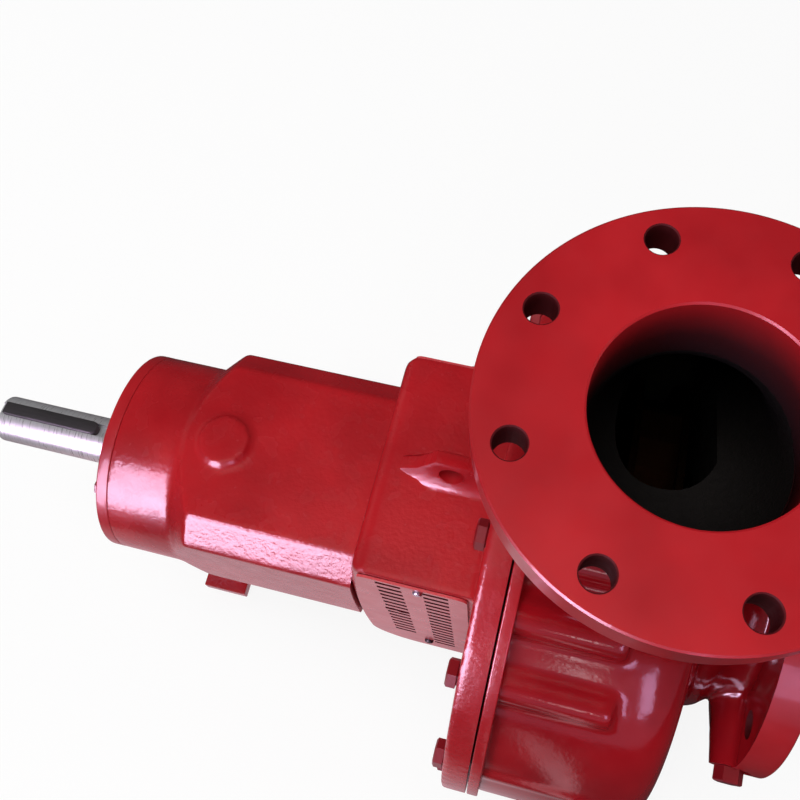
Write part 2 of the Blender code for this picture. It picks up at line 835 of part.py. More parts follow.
def build_lantern():
    """The adapter between frame and casing: a joint flange, a boxy shell, two windows and a lug."""
    joint = -JOINT_REACH
    back = -LANTERN_BACK
    recess = casing_face() - RIM_THICKNESS - 2 * SEAM
    body = rod("lantern", (0, 0), JOINT_RADIUS, joint - ADAPTER_FLANGE, joint, "x", ROUND)
    join(body, lantern_block("shell", 0.0, joint - ADAPTER_FLANGE / 2, LANTERN_EDGE))
    join(body, prism("lug", lug_outline(), -LUG_THICKNESS / 2, LUG_THICKNESS / 2, "y"))
    eye = (back + LUG_EYE_INSET, LANTERN_HEIGHT / 2 + LUG_EYE_RISE)
    cut(body, rod("lug_eye", eye, LUG_EYE, -0.02, 0.02, "y", 20))
    cut(body, lantern_block("hollow", LANTERN_WALL, joint + 0.01, 0.004))
    seat = RIM_RADIUS + SEAM
    cut(body, stepped_bar("rim_seat", [(recess, seat), (joint + 0.01, seat)]))
    cut(body, rod("cap_hole", (0, 0), spigot_radius() + SEAM, 1.3 * back, back + 0.03, "x", ROUND))
    high = joint - ADAPTER_FLANGE - 0.006
    windows = side_outline(high, LANTERN_EDGE + WINDOW_MARGIN, 0.0)
    cut(body, prism("windows", windows, -LANTERN_WIDTH, LANTERN_WIDTH, "y"))
    body.data.materials.append(red_paint("lantern_paint"))
    return body


def spigot_radius():
    """The round end of the bearing frame that centres it in the lantern's back wall."""
    return INNER_CAP_RADIUS + 0.0015


def lug_outline():
    """The lifting lug's side view: a slope up from the lantern's top, then level to the joint flange."""
    start = -LANTERN_BACK + LUG_START
    roof = LANTERN_HEIGHT / 2
    joint = -JOINT_REACH - ADAPTER_FLANGE / 2
    return [
        (start, roof - 0.004),
        (start, roof + 0.001),
        (start + LUG_SLOPE, roof + LUG_HEIGHT),
        (start + LUG_SLOPE + LUG_CREST, roof + LUG_HEIGHT - 0.005),
        (joint, roof + LUG_HEIGHT - 0.014),
        (joint, roof - 0.004),
    ]


def build_guard(name, side):
    """A slotted guard plate on one side wall of the lantern, over its window."""
    high = -JOINT_REACH - ADAPTER_FLANGE - GUARD_MARGIN
    inner = side * (LANTERN_WIDTH / 2 + SEAM)
    near, far = sorted((inner, inner + side * GUARD_THICKNESS))
    body = prism(name, side_outline(high, GUARD_MARGIN, GUARD_CORNER), near, far, "y")
    top = LANTERN_HEIGHT / 2 - SLOT_TOP_MARGIN
    for column, rows in enumerate(SLOT_ROWS):
        x = -LANTERN_BACK + SLOT_EDGE + column * SLOT_SPACING
        for row in range(rows):
            z = top - row * SLOT_PITCH
            cut(body, box("slot", (x - SLOT_LENGTH / 2, near - 0.01, z - SLOT_WIDTH / 2),
                          (x + SLOT_LENGTH / 2, far + 0.01, z + SLOT_WIDTH / 2)))
    body.data.materials.append(red_paint(name + "_paint"))
    return body


def build_bearing_frame():
    """The bearing frame: a round drum at the drive end and an eight-sided box up to the lantern."""
    end = -FRAME_REACH
    front = -LANTERN_BACK - SEAM
    body = rod("bearing_frame", (0, 0), DRUM_RADIUS, end, front, "x", ROUND)
    chamfer = BOX_HALF - BOX_FLAT
    half = [
        (BOX_FLAT, BOX_TOP),
        (BOX_HALF, BOX_TOP - chamfer),
        (BOX_HALF, -BOX_TOP + chamfer + 0.016),
        (BOX_KEEL, -BOX_TOP),
    ]
    outline = half + [(-y, z) for y, z in reversed(half)]
    start = end + DRUM_LENGTH
    shell = prism("box", outline, start, front, "x")
    reach = BOX_HALF * 1.5
    cone = stepped_bar("cone", [
        (start - 0.001, DRUM_RADIUS - 0.001),
        (start - 0.001 + reach - DRUM_RADIUS, reach - 0.001),
        (front + 0.01, reach - 0.001),
    ])
    combine(shell, cone, "INTERSECT")
    join(body, shell)
    pad_top = BOX_TOP + PAD_RISE
    join(body, rod("pad", (end + PAD_INSET, 0), PAD_RADIUS, BOX_TOP - 0.01, pad_top, "z", 28))
    lantern = prism("seat", side_outline(0.0, -SEAM, 0.0), -LANTERN_WIDTH, LANTERN_WIDTH, "y")
    cut(lantern, rod("spigot", (0, 0), spigot_radius(), end, DRUM_RADIUS, "x", ROUND))
    cut(body, lantern)
    cut(body, rod("bore", (0, 0), FRAME_BORE, end - 0.01, front + 0.01, "x", ROUND))
    body.data.materials.append(red_paint("frame_paint"))
    return body


def build_drive_end_cap():
    high = -FRAME_REACH - SEAM
    low = high - CAP_THICKNESS
    body = turned("drive_end_cap", [
        (low, OIL_SEAL_RADIUS),
        (high + CAP_PLUG, OIL_SEAL_RADIUS),
        (high + CAP_PLUG, FRAME_BORE - SEAM),
        (high, FRAME_BORE - SEAM),
        (high, DRUM_RADIUS),
        (low, DRUM_RADIUS),
    ])
    body.data.materials.append(red_paint("cap_paint"))
    return body


def build_drive_oil_seal():
    low = -FRAME_REACH - SEAM - CAP_THICKNESS + OIL_SEAL_INSET
    body = turned("drive_oil_seal", [
        (low, SHAFT_RADIUS + SLIDE),
        (low + OIL_SEAL_WIDTH, SHAFT_RADIUS + SLIDE),
        (low + OIL_SEAL_WIDTH, OIL_SEAL_RADIUS - SEAM),
        (low, OIL_SEAL_RADIUS - SEAM),
    ], 32)
    body.data.materials.append(black_rubber("seal_rubber"))
    return body


def build_bearings():
    lows = {
        "drive_bearing": -FRAME_REACH + CAP_PLUG + 0.001,
        "pump_bearing": -LANTERN_BACK - 0.012 - BEARING_WIDTH,
    }
    made = []
    for name, low in lows.items():
        body = turned(name, [
            (low, SEAT_RADIUS + SLIDE),
            (low + BEARING_WIDTH, SEAT_RADIUS + SLIDE),
            (low + BEARING_WIDTH, FRAME_BORE - SEAM),
            (low, FRAME_BORE - SEAM),
        ], 32)
        body.data.materials.append(bright_steel(name + "_steel"))
        made.append(body)
    return made


def build_inner_bearing_cap():
    face = -LANTERN_BACK
    bore = NOSE_RADIUS + 0.003 + SLIDE
    body = turned("inner_bearing_cap", [
        (face - 0.010, bore),
        (face + INNER_CAP, bore),
        (face + INNER_CAP, INNER_CAP_RADIUS - 0.010),
        (face + INNER_CAP - 0.004, INNER_CAP_RADIUS),
        (face, INNER_CAP_RADIUS),
        (face, FRAME_BORE - SEAM),
        (face - 0.010, FRAME_BORE - SEAM),
    ], 32)
    body.data.materials.append(red_paint("inner_cap_paint"))
    return body


def build_rear_support_foot():
    """The leg under the drum: a saddle, a web and a ground plate."""
    ground = -SHAFT_HEIGHT
    middle = -FRAME_REACH + SUPPORT_INSET
    low, high = middle - SUPPORT_LENGTH / 2, middle + SUPPORT_LENGTH / 2
    body = box("rear_support_foot", (low, -SUPPORT_SPAN / 2, ground),
               (high, SUPPORT_SPAN / 2, ground + SUPPORT_PLATE))
    leg = box("leg", (middle - SUPPORT_LEG / 2, -SUPPORT_LEG_SPAN / 2, ground + 0.004),
              (middle + SUPPORT_LEG / 2, SUPPORT_LEG_SPAN / 2, -DRUM_RADIUS))
    saddle = box("saddle", (low, -0.045, -DRUM_RADIUS - 0.012), (high, 0.045, -DRUM_RADIUS * 0.8))
    join(body, leg, saddle)
    cut(body, rod("drum", (0, 0), DRUM_RADIUS + SEAM, low - 0.02, high + 0.02, "x", ROUND))
    body.data.materials.append(red_paint("support_paint"))
    return body


def build_suction_plug():
    """The hex-headed gauge plug in its boss, at the near side of the suction flange."""
    x = SUCTION_REACH - FLANGE_THICKNESS
    seat = -gauge_seat() - SEAM
    body = rod("suction_plug", (x, 0), PLUG_RADIUS, seat - PLUG_RISE, seat, "y", 6)
    body.data.materials.append(red_paint("plug_paint"))
    return body


def build_all():
    fixed = [
        build_volute_casing(),
        build_discharge_flange(),
        build_suction_flange(),
        build_casing_flange(),
        build_casing_cover(),
        build_seal_gland(),
        *build_wear_rings(),
        build_lantern(),
        build_guard("guard_near", -1),
        build_guard("guard_far", 1),
        build_bearing_frame(),
        build_drive_end_cap(),
        build_drive_oil_seal(),
        *build_bearings(),
        build_inner_bearing_cap(),
        build_rear_support_foot(),
        build_suction_plug(),
    ]
    turning = [
        build_shaft(),
        build_shaft_key(),
        build_impeller(),
        build_impeller_nut(),
        build_shaft_sleeve(),
        build_deflector(),
    ]
    return fixed, turning


def main():
    clear_scene()
    axes = bpy.data.objects.new("pump_axes", None)
    axes.location = ((DRIVE_REACH - SUCTION_REACH) / 2, 0, SHAFT_HEIGHT)
    bpy.context.scene.collection.objects.link(axes)
    fixed, turning = build_all()
    for obj in fixed + turning:
        obj.parent = axes
    bpy.context.view_layer.update()


main()
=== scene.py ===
# %% [markdown]
# # A bare-shaft centrifugal pump, cast, machined and painted
#
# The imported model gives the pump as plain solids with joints. This script dresses it
# the way a foundry and a workshop would. Each casting starts as a few simple lumps that
# overlap, which are fused and smoothed into one skin with soft corners. Cutters then
# work on it as a lathe, a mill and a drill do, so that only the machined edges are
# sharp. Turned pieces, sheet guards and bolts follow, and then paint, lamps and floor.

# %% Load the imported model
import math

import bmesh
import bpy
from mathutils import Matrix, Vector


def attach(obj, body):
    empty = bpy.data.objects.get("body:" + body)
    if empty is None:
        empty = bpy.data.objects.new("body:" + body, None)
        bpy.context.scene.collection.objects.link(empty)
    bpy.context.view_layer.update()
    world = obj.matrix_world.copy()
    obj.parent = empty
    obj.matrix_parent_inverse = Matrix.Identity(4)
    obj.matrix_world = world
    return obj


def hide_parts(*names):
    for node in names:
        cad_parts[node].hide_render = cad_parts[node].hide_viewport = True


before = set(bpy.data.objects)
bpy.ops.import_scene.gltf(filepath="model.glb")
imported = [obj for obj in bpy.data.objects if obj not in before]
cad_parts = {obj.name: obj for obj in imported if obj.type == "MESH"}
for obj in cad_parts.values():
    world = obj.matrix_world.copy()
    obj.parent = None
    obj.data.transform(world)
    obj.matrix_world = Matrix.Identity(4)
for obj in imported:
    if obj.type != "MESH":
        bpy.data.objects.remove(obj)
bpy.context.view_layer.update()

# %% [markdown]
# ## Where things are
#
# A pump is drawn from two lines: the shaft line and the discharge line. Everything
# below is modelled about the point where they cross, in metres, with X along the shaft
# towards the suction flange and Z up through the discharge flange. The finished meshes
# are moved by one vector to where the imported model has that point.

# %% Main lines and sizes of the pump
SHAFT_HEIGHT = 0.280
DISCHARGE_HEIGHT = 0.355
SUCTION_REACH = 0.137
DRIVE_REACH = 0.573
CROSSING = Vector(((DRIVE_REACH - SUCTION_REACH) / 2, 0, SHAFT_HEIGHT))

WALL = 0.010
FLANGE_THICKNESS = 0.0265
JOINT_REACH = 0.085
JOINT_RADIUS = 0.211
FLANGE_GAP = 0.0014
CASING_FLANGE = 0.0086
ADAPTER_FLANGE = 0.0195
FRAME_REACH = 0.4257
DRUM_RADIUS = 0.0876
LANTERN_BACK = 0.198
casing_face = -JOINT_REACH + FLANGE_GAP
adapter_rear = -JOINT_REACH - ADAPTER_FLANGE
print("the shaft and discharge lines cross at", tuple(round(v, 4) for v in CROSSING))

# %% [markdown]
# ## The camera
#
# The photograph looks steeply down on the pump from its near side. The camera was found
# by fitting the flange circles, the bolt holes and the long edges of the real pump, so
# it is written here as a place, three directions and a focal length.

# %% Camera at the photograph's viewing angle
CAMERA_PLACE = Vector((-0.0743292, -0.2130063, 0.8548285))
CAMERA_RIGHT = Vector((0.96505281, 0.25222041, -0.07111924))
CAMERA_UP = Vector((-0.20969494, 0.90601042, 0.36765902))
CAMERA_BACK = Vector((0.15716588, -0.33989703, 0.92723724))
LENS = 45.332


def make_camera():
    camera = bpy.data.objects.new("camera", bpy.data.cameras.new("camera"))
    camera.data.lens = LENS
    camera.data.sensor_width = 36.0
    camera.data.clip_start = 0.01
    turn = Matrix((CAMERA_RIGHT, CAMERA_UP, CAMERA_BACK)).transposed().to_4x4()
    camera.matrix_world = Matrix.Translation(CAMERA_PLACE + CROSSING) @ turn
    bpy.context.scene.collection.objects.link(camera)
    bpy.context.scene.camera = camera
    return camera


camera = make_camera()
print("camera stands", round(camera.location.z, 3), "m above the floor")

# %% [markdown]
# ## Paint and metal
#
# The pump is sprayed all over with glossy red enamel. On a sand casting the paint
# follows the rough skin below, with soft lumps a few millimetres across and a finer
# orange peel, while on a machined face only the peel is left. All the enamels come from
# one recipe. The bolts have a darker red, the casing a darker red that is painted shade,
# and the sheet guards a lighter red that is painted light. Noise on object coordinates drives a bump and
# small changes of gloss and colour.


# %% Helpers that add and wire nodes
def put(node, inputs):
    """Sets inputs of a node, by name or number, to a value or to a linked socket."""
    for key, value in inputs.items():
        if isinstance(value, bpy.types.NodeSocket):
            node.id_data.links.new(value, node.inputs[key])
        else:
            node.inputs[key].default_value = value
    return node


def add(tree, kind, inputs=None, output=0, **settings):
    """Adds a node with these inputs and settings, and returns one of its outputs."""
    node = tree.nodes.new(kind)
    for key, value in settings.items():
        setattr(node, key, value)
    return put(node, inputs or {}).outputs[output]


def calc(tree, operation, *values):
    return add(tree, "ShaderNodeMath", dict(enumerate(values)), operation=operation)


def noise(tree, place, scale, detail=2.0):
    """Noise whose lumps are about one part in scale of a metre."""
    return add(tree, "ShaderNodeTexNoise", {"Vector": place, "Scale": scale, "Detail": detail})


def remap(tree, source, low, high, new_low, new_high):
    """Maps one range of values to another, held at its ends."""
    return add(tree, "ShaderNodeMapRange", {
        "Value": source, "From Min": low, "From Max": high, "To Min": new_low, "To Max": new_high})


def spread(tree, source, low, high):
    """Maps noise, which stays mostly between 0.3 and 0.7, to a range of values."""
    return remap(tree, source, 0.3, 0.7, low, high)


def bump(tree, height, distance, **below):
    return add(tree, "ShaderNodeBump", {"Height": height, "Strength": 1.0, "Distance": distance, **below})


def ramp(tree, source, *stops):
    """Blends between (position, colour) stops."""
    colour_out = add(tree, "ShaderNodeValToRGB", {"Fac": source})
    elements = colour_out.node.color_ramp.elements
    for element, (position, colour) in zip(elements, (stops[0], stops[-1])):
        element.position = position
        element.color = (*colour, 1)
    for position, colour in stops[1:-1]:
        elements.new(position).color = (*colour, 1)
    return colour_out


def new_material(name):
    """A material with its tree, its shader and the object's coordinates."""
    material = bpy.data.materials.new(name)
    material.use_nodes = True
    tree = material.node_tree
    place = add(tree, "ShaderNodeTexCoord", output="Object")
    return material, tree, tree.nodes["Principled BSDF"], place


print("node helpers ready")

# %% Red enamel on cast, machined and sheet surfaces
ENAMEL = (0.40, 0.0075, 0.0125)
ENAMEL_DEEP = (0.31, 0.0045, 0.0085)
SHADE_SCALE = 14.0
GLOSS_SCALE = 60.0
LUMP_SCALE = 190.0
PEEL_SCALE = 430.0
GLOSS_RANGE = 0.08


def enamel(name, lumps, peel, gloss, red=ENAMEL, deep=ENAMEL_DEEP):
    """Red enamel over a surface whose cast lumps and orange peel have these bump heights."""
    material, tree, shader, place = new_material(name)
    coarse = bump(tree, noise(tree, place, LUMP_SCALE, 1.0), lumps)
    fine = bump(tree, noise(tree, place, PEEL_SCALE, 1.0), peel, Normal=coarse)
    put(shader, {
        "Base Color": ramp(tree, noise(tree, place, SHADE_SCALE, 3.0), (0.35, deep), (0.62, red)),
        "Roughness": spread(tree, noise(tree, place, GLOSS_SCALE), gloss, gloss + GLOSS_RANGE),
        "Normal": fine,
        "Coat Normal": fine,
        "Coat Weight": 0.35,
        "Coat Roughness": 0.09})
    return material


cast_enamel = enamel("cast_enamel", 0.00020, 0.00013, 0.22)
# Painted shade: the casing gets a darker red than the other castings, standing in for the shade it lies in.
casing_enamel_painted_shade = enamel("casing_enamel_painted_shade", 0.00006, 0.00003, 0.10, (0.30, 0.005, 0.0095), (0.23, 0.0035, 0.0075))
machined_enamel = enamel("machined_enamel", 0.00003, 0.00002, 0.30)
bolt_enamel = enamel("bolt_enamel", 0.00003, 0.00002, 0.34, (0.22, 0.0050, 0.0090), (0.17, 0.0035, 0.0070))
# Painted light: the guards get a lighter, salmon red, standing in for the light that falls on them from the
# near side.
sheet_enamel_painted_light = enamel("sheet_enamel_painted_light", 0.00003, 0.00002, 0.26, (0.56, 0.060, 0.070), (0.50, 0.048, 0.058))
print("enamels:", [m.name for m in bpy.data.materials if "enamel" in m.name])

# %% [markdown]
# The spray only reaches a little way into the bores. From the mouth of the discharge
# bore downwards the red thins out to bare, dark iron, and the ramp darkens on to near
# black as painted shade deeper in the bore. So this finish is a ramp along the bore's own height.


# %% Enamel that fades to dark iron and painted shade inside the discharge bore
THROAT_IRON_IN_PAINTED_SHADE = (0.004, 0.0015, 0.0015)
THROAT_RED = (0.085, 0.0015, 0.003)
FADE_LENGTH = 0.075


def enamel_fading_to_painted_shade(name, high, low):
    material, tree, shader, place = new_material(name)
    height = add(tree, "ShaderNodeSeparateXYZ", {"Vector": place}, output="Z")
    depth = remap(tree, height, low, high, 0.0, 1.0)
    uneven = calc(tree, "MULTIPLY_ADD", noise(tree, place, 40.0), 0.10, depth)
    put(shader, {
        # Painted shade: the colour darkens to near black with depth, for the shade deep in the bore as well
        # as the bare iron.
        "Base Color": ramp(tree, uneven, (0.05, THROAT_IRON_IN_PAINTED_SHADE), (0.55, THROAT_RED), (1.0, ENAMEL)),
        "Roughness": remap(tree, depth, 0.0, 1.0, 0.85, 0.35),
        "Normal": bump(tree, noise(tree, place, LUMP_SCALE), 0.00008)})
    return material


mouth_level = SHAFT_HEIGHT + DISCHARGE_HEIGHT
bore_enamel_and_painted_shade = enamel_fading_to_painted_shade("bore_enamel_and_painted_shade", mouth_level, mouth_level - FADE_LENGTH)
print("bore enamel fades over", FADE_LENGTH, "m below", mouth_level, "m")


# %% Bare metals, rubber and a painted-shade dark red
def metal(name, colour, rough, streak, stretch, metallic=1.0, specular=0.5):
    """Bare metal with tool marks: noise squeezed along one direction by stretch."""
    material, tree, shader, place = new_material(name)
    squeezed = add(tree, "ShaderNodeMapping", {"Vector": place, "Scale": stretch})
    marks = noise(tree, squeezed, GLOSS_SCALE, 4.0)
    darker = tuple(0.86 * c for c in colour)
    put(shader, {
        "Base Color": ramp(tree, marks, (0.30, darker), (0.60, colour)),
        "Roughness": spread(tree, marks, rough - 0.05, rough + 0.08),
        "Normal": bump(tree, marks, streak),
        "Metallic": metallic,
        "Specular IOR Level": specular})
    return material


ground_steel = metal("ground_steel", (0.57, 0.58, 0.60), 0.30, 0.00001, (14.0, 1.0, 1.0), 0.55)
key_steel = metal("drawn_key_steel", (0.085, 0.082, 0.085), 0.46, 0.00003, (1.0, 8.0, 8.0), 0.7)
zinc_steel = metal("zinc_plated_steel", (0.62, 0.62, 0.64), 0.28, 0.00003, (4.0, 4.0, 4.0))
cast_bronze = metal("dull_cast_bronze", (0.20, 0.115, 0.045), 0.58, 0.00025, (4.0, 4.0, 4.0))
turned_bronze = metal("turned_bronze", (0.56, 0.34, 0.13), 0.26, 0.00004, (30.0, 1.0, 1.0))
dark_iron = metal("oiled_dark_iron", (0.022, 0.019, 0.018), 0.60, 0.00040, (3.0, 3.0, 3.0), 0.3)
grey_iron = metal("machined_grey_iron", (0.17, 0.16, 0.155), 0.45, 0.00010, (12.0, 2.0, 2.0), 0.6)
black_screw = metal("black_screw_steel", (0.05, 0.045, 0.045), 0.40, 0.00004, (4.0, 4.0, 4.0))
# Painted shade: a nearly black red with little shine, put on the lantern's hollow, its windows, the guard
# slots and the drilled holes, where shade falls.
painted_shade_red = metal("thin_dark_enamel", (0.075, 0.007, 0.009), 0.60, 0.00020, (3.0, 3.0, 3.0), 0.0, 0.08)
black_rubber = metal("black_rubber", (0.018, 0.018, 0.018), 0.55, 0.00008, (6.0, 6.0, 6.0), 0.0)
print("finishes:", len(bpy.data.materials))

# %% [markdown]
# ## Shop tools
#
# A few small tools make every solid here. A **skin** joins rings of points, a **bar** is
# a skin over circles about the shaft line, and a **turned** piece spins a closed profile
# about the same line. A **prism** pushes an outline along an axis, and a **rod** is a
# round prism. **Eased** rounds the corners of a profile, as a file or a paint film does.


# %% Skins, bars, prisms and rods
def link(name, mesh):
    obj = bpy.data.objects.new(name, mesh)
    bpy.context.scene.collection.objects.link(obj)
    return obj


def skin(name, rings, endless=False):
    """Joins rings of equal length; the row of rings is capped, or endless like a tyre."""
    bm = bmesh.new()
    rows = [[bm.verts.new(point) for point in ring] for ring in rings]
    pairs = list(zip(rows, rows[1:]))
    if endless:
        pairs.append((rows[-1], rows[0]))
    for first, second in pairs:
        for i in range(len(first)):
            j = (i + 1) % len(first)
            bm.faces.new((first[i], first[j], second[j], second[i]))
    if endless:
        bmesh.ops.remove_doubles(bm, verts=bm.verts, dist=1e-6)
    else:
        bm.faces.new(list(reversed(rows[0])))
        bm.faces.new(rows[-1])
    bmesh.ops.recalc_face_normals(bm, faces=bm.faces)
    mesh = bpy.data.meshes.new(name)
    bm.to_mesh(mesh)
    bm.free()
    return link(name, mesh)


def circle(radius, x, segments):
    step = 2 * math.pi / segments
    return [(x, radius * math.cos(k * step), radius * math.sin(k * step)) for k in range(segments)]


def bar(name, steps, segments=144):
    """A solid turned bar through (x, radius) steps."""
    return skin(name, [circle(radius, x, segments) for x, radius in steps])


def turned(name, profile, segments=160):
    """A ring spun about the shaft line from a closed profile of (x, radius) points."""
    step = 2 * math.pi / segments
    spokes = [[(x, r * math.cos(k * step), r * math.sin(k * step)) for x, r in profile]
              for k in range(segments)]
    return skin(name, spokes, endless=True)


def eased(points, size, closed=True, steps=4):
    """The same outline with each corner replaced by a small curve."""
    points = [Vector(p) for p in points]
    last = len(points) - 1
    out = []
    for i, corner in enumerate(points):
        if not closed and i in (0, last):
            out.append(tuple(corner))
            continue
        before = points[i - 1] - corner
        after = points[(i + 1) % len(points)] - corner
        reach = min(size, before.length * 0.45, after.length * 0.45)
        start = corner + before.normalized() * reach
        end = corner + after.normalized() * reach
        for k in range(steps + 1):
            t = k / steps
            out.append(tuple(start * (1 - t) ** 2 + corner * 2 * t * (1 - t) + end * t * t))
    return out


def prism(name, outline, low, high, axis):
    orders = {"x": lambda a, b, c: (c, a, b), "y": lambda a, b, c: (a, c, b), "z": lambda a, b, c: (a, b, c)}
    place = orders[axis]
    return skin(name, [[place(a, b, c) for a, b in outline] for c in (low, high)])


def rod(name, centre, radius, low, high, axis, segments=48):
    step = 2 * math.pi / segments
    outline = [(centre[0] + radius * math.cos(k * step), centre[1] + radius * math.sin(k * step))
               for k in range(segments)]
    return prism(name, outline, low, high, axis)


def block(name, low, high):
    outline = [(low[0], low[1]), (high[0], low[1]), (high[0], high[1]), (low[0], high[1])]
    return prism(name, outline, low[2], high[2], "z")


def bake(obj):
    """Replaces the mesh by what its modifiers show, and removes them."""
    bpy.context.view_layer.update()
    graph = bpy.context.evaluated_depsgraph_get()
    baked = bpy.data.meshes.new_from_object(obj.evaluated_get(graph))
    obj.modifiers.clear()
    obj.data = baked
    return obj


def upright(obj):
    """Turns a body made about the shaft line so that it stands about the discharge line."""
    obj.data.transform(Matrix.Rotation(math.radians(-90), 4, "Y"))
    return obj


print("shop tools ready")

# %% [markdown]
# ## Casting and machining
#
# **Cast** gathers overlapping lumps in one mesh and voxel-remeshes it, which keeps only
# the outside and fuses them. Smoothing the even grid then rounds every corner, inner
# ones like the fillets of a casting and outer ones like a pattern's soft edges. **Machine**
# then takes Boolean cutters from the cast skin, and only their cuts are sharp. A body and
# its cutter share one list of materials, so a milled face can have a smoother paint and
# a waterway bare iron.


# %% Cast, machine and finish
def cast(name, lumps, grain, rounds, paint):
    """One skin round overlapping lumps; more rounds of smoothing make larger fillets."""
    gathered = bmesh.new()
    for lump in lumps:
        gathered.from_mesh(lump.data)
        bpy.data.objects.remove(lump)
    mesh = bpy.data.meshes.new(name)
    gathered.to_mesh(mesh)
    gathered.free()
    body = link(name, mesh)
    fuse = body.modifiers.new("fuse", "REMESH")
    fuse.mode = "VOXEL"
    fuse.voxel_size = grain
    soften = body.modifiers.new("soften", "SMOOTH")
    soften.factor = 0.5
    soften.iterations = rounds
    bake(body)
    body.data.materials.clear()
    body.data.materials.append(paint)
    return body


def dip(obj, material):
    """Covers a piece or a cutter in one material."""
    obj.data.materials.clear()
    obj.data.materials.append(material)
    return obj


def machine(body, cutter, material, operation="DIFFERENCE"):
    """Works a tool on the body; the new faces show the given material."""
    if material.name not in body.data.materials:
        body.data.materials.append(material)
    slot = list(body.data.materials).index(material)
    cutter.data.materials.clear()
    for shared in body.data.materials:
        cutter.data.materials.append(shared)
    cutter.data.polygons.foreach_set("material_index", [slot] * len(cutter.data.polygons))
    step = body.modifiers.new("work", "BOOLEAN")
    step.operation = operation
    step.solver = "MANIFOLD"
    step.object = cutter
    bake(body)
    bpy.data.objects.remove(cutter)
    return body


SHARP_ANGLE = math.radians(35.0)


def fit(piece, body, *nodes, slot=None):
    """Shades a finished mesh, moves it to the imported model's axes and hands it to the frame."""
    piece.data.shade_smooth()
    piece.data.set_sharp_from_angle(angle=SHARP_ANGLE)
    piece.data.transform(Matrix.Translation(CROSSING))
    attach(piece, body)
    if nodes:
        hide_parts(*nodes)
    print(piece.name, "has", len(piece.data.polygons), "faces")
    return piece


print("foundry ready")

# %% [markdown]
# ## One piece many times
#
# Bolts, drills and bosses stand in a ring about an axis. A small geometry-nodes tree
# makes the ring: it puts copies of one piece on points that all lie at the origin and
# turns each copy by its own share of the circle. A piece drawn at its radius then
# lands in its place, whatever its shape is.


# %% A geometry-nodes tree for rings
def new_tree(name, inputs):
    """A tree with a geometry output and these (name, socket type) inputs."""
    tree = bpy.data.node_groups.new(name, "GeometryNodeTree")
    tree.interface.new_socket(name="Geometry", in_out="OUTPUT", socket_type="NodeSocketGeometry")
    for label, kind in inputs:
        tree.interface.new_socket(name=label, in_out="INPUT", socket_type="NodeSocket" + kind)
    return tree, tree.nodes.new("NodeGroupInput").outputs


def close_tree(tree, instances, material):
    """Turns instances into real faces of one material, as what the tree gives out."""
    faces = add(tree, "GeometryNodeRealizeInstances", {"Geometry": instances})
    painted = add(tree, "GeometryNodeSetMaterial", {"Geometry": faces, "Material": material})
    put(tree.nodes.new("NodeGroupOutput"), {"Geometry": painted})
    return tree


def ring_tree():
    tree, given = new_tree("ring_of_pieces", [
        ("Piece", "Object"), ("Count", "Int"), ("Start", "Float"), ("Material", "Material")])
    points = add(tree, "GeometryNodeMeshLine", {"Count": given["Count"], "Offset": (0, 0, 0)})
    piece = add(tree, "GeometryNodeObjectInfo", {"Object": given["Piece"]}, output="Geometry")
    copies = add(tree, "GeometryNodeInstanceOnPoints", {"Points": points, "Instance": piece})
    share = calc(tree, "DIVIDE", 2 * math.pi, given["Count"])
    angle = calc(tree, "MULTIPLY_ADD", add(tree, "GeometryNodeInputIndex"), share, given["Start"])
    about_x = add(tree, "ShaderNodeCombineXYZ", {"X": angle})
    turned_copies = add(tree, "GeometryNodeRotateInstances", {
        "Instances": copies, "Rotation": about_x, "Local Space": False})
    return close_tree(tree, turned_copies, given["Material"])


def grow(name, tree, **values):
    """An object made by a tree, with its inputs set by identifier, as a plain mesh."""
    obj = link(name, bpy.data.meshes.new(name))
    maker = obj.modifiers.new("maker", "NODES")
    maker.node_group = tree
    for item in tree.interface.items_tree:
        if item.in_out == "INPUT" and item.name in values:
            maker[item.identifier] = values[item.name]
    return bake(obj)


RING = ring_tree()


def ring(name, piece, count, start_degrees, material):
    made = grow(name, RING, Piece=piece, Count=count, Start=math.radians(start_degrees), Material=material)
    bpy.data.objects.remove(piece)
    return made


print("ring tree has", len(RING.nodes), "nodes")

# %% [markdown]
# ## The spiral casing
#
# The casing is the heart of the pump. Water leaves the impeller all round, so the
# channel that gathers it grows steadily along the turn, and then bends over into a
# straight neck up to the discharge flange. The channel is a skin over rounded sections
# on a spiral, followed by sections on a smooth curve up the neck. The same rings, made
# a wall thinner, are the core that hollows it out.

# %% Sizes of the spiral
CHAMBER_RADIUS = 0.1655
CHAMBER_FRONT = 0.040
CHANNEL_HALF = 0.030
CHANNEL_GROWTH = 0.006
CHANNEL_SHIFT = 0.008
CHANNEL_INNER = 0.150
CHANNEL_POWER = 2.8
TONGUE_RADIUS = 0.182
THROAT_RADIUS = 0.240
TONGUE_ANGLE = 30.0
THROAT_ANGLE = 290.0
NECK_RISE = 0.118
DISCHARGE_RADIUS = 0.125
DISCHARGE_BORE = 0.063
DISCHARGE_CIRCLE = 0.105
DISCHARGE_HOLE = 0.0095
SUCTION_RADIUS = 0.1425
SUCTION_BORE = 0.075
SUCTION_CIRCLE = 0.120
SUCTION_HOLE = 0.011
FLANGE_HOLES = 8
FLANGE_TURN = 22.5
neck_top = DISCHARGE_HEIGHT - FLANGE_THICKNESS
suction_back = SUCTION_REACH - FLANGE_THICKNESS


def volute_radius(degrees, grow_by):
    share = (degrees - TONGUE_ANGLE) / (THROAT_ANGLE - TONGUE_ANGLE)
    return TONGUE_RADIUS + (THROAT_RADIUS - TONGUE_RADIUS) * share + grow_by


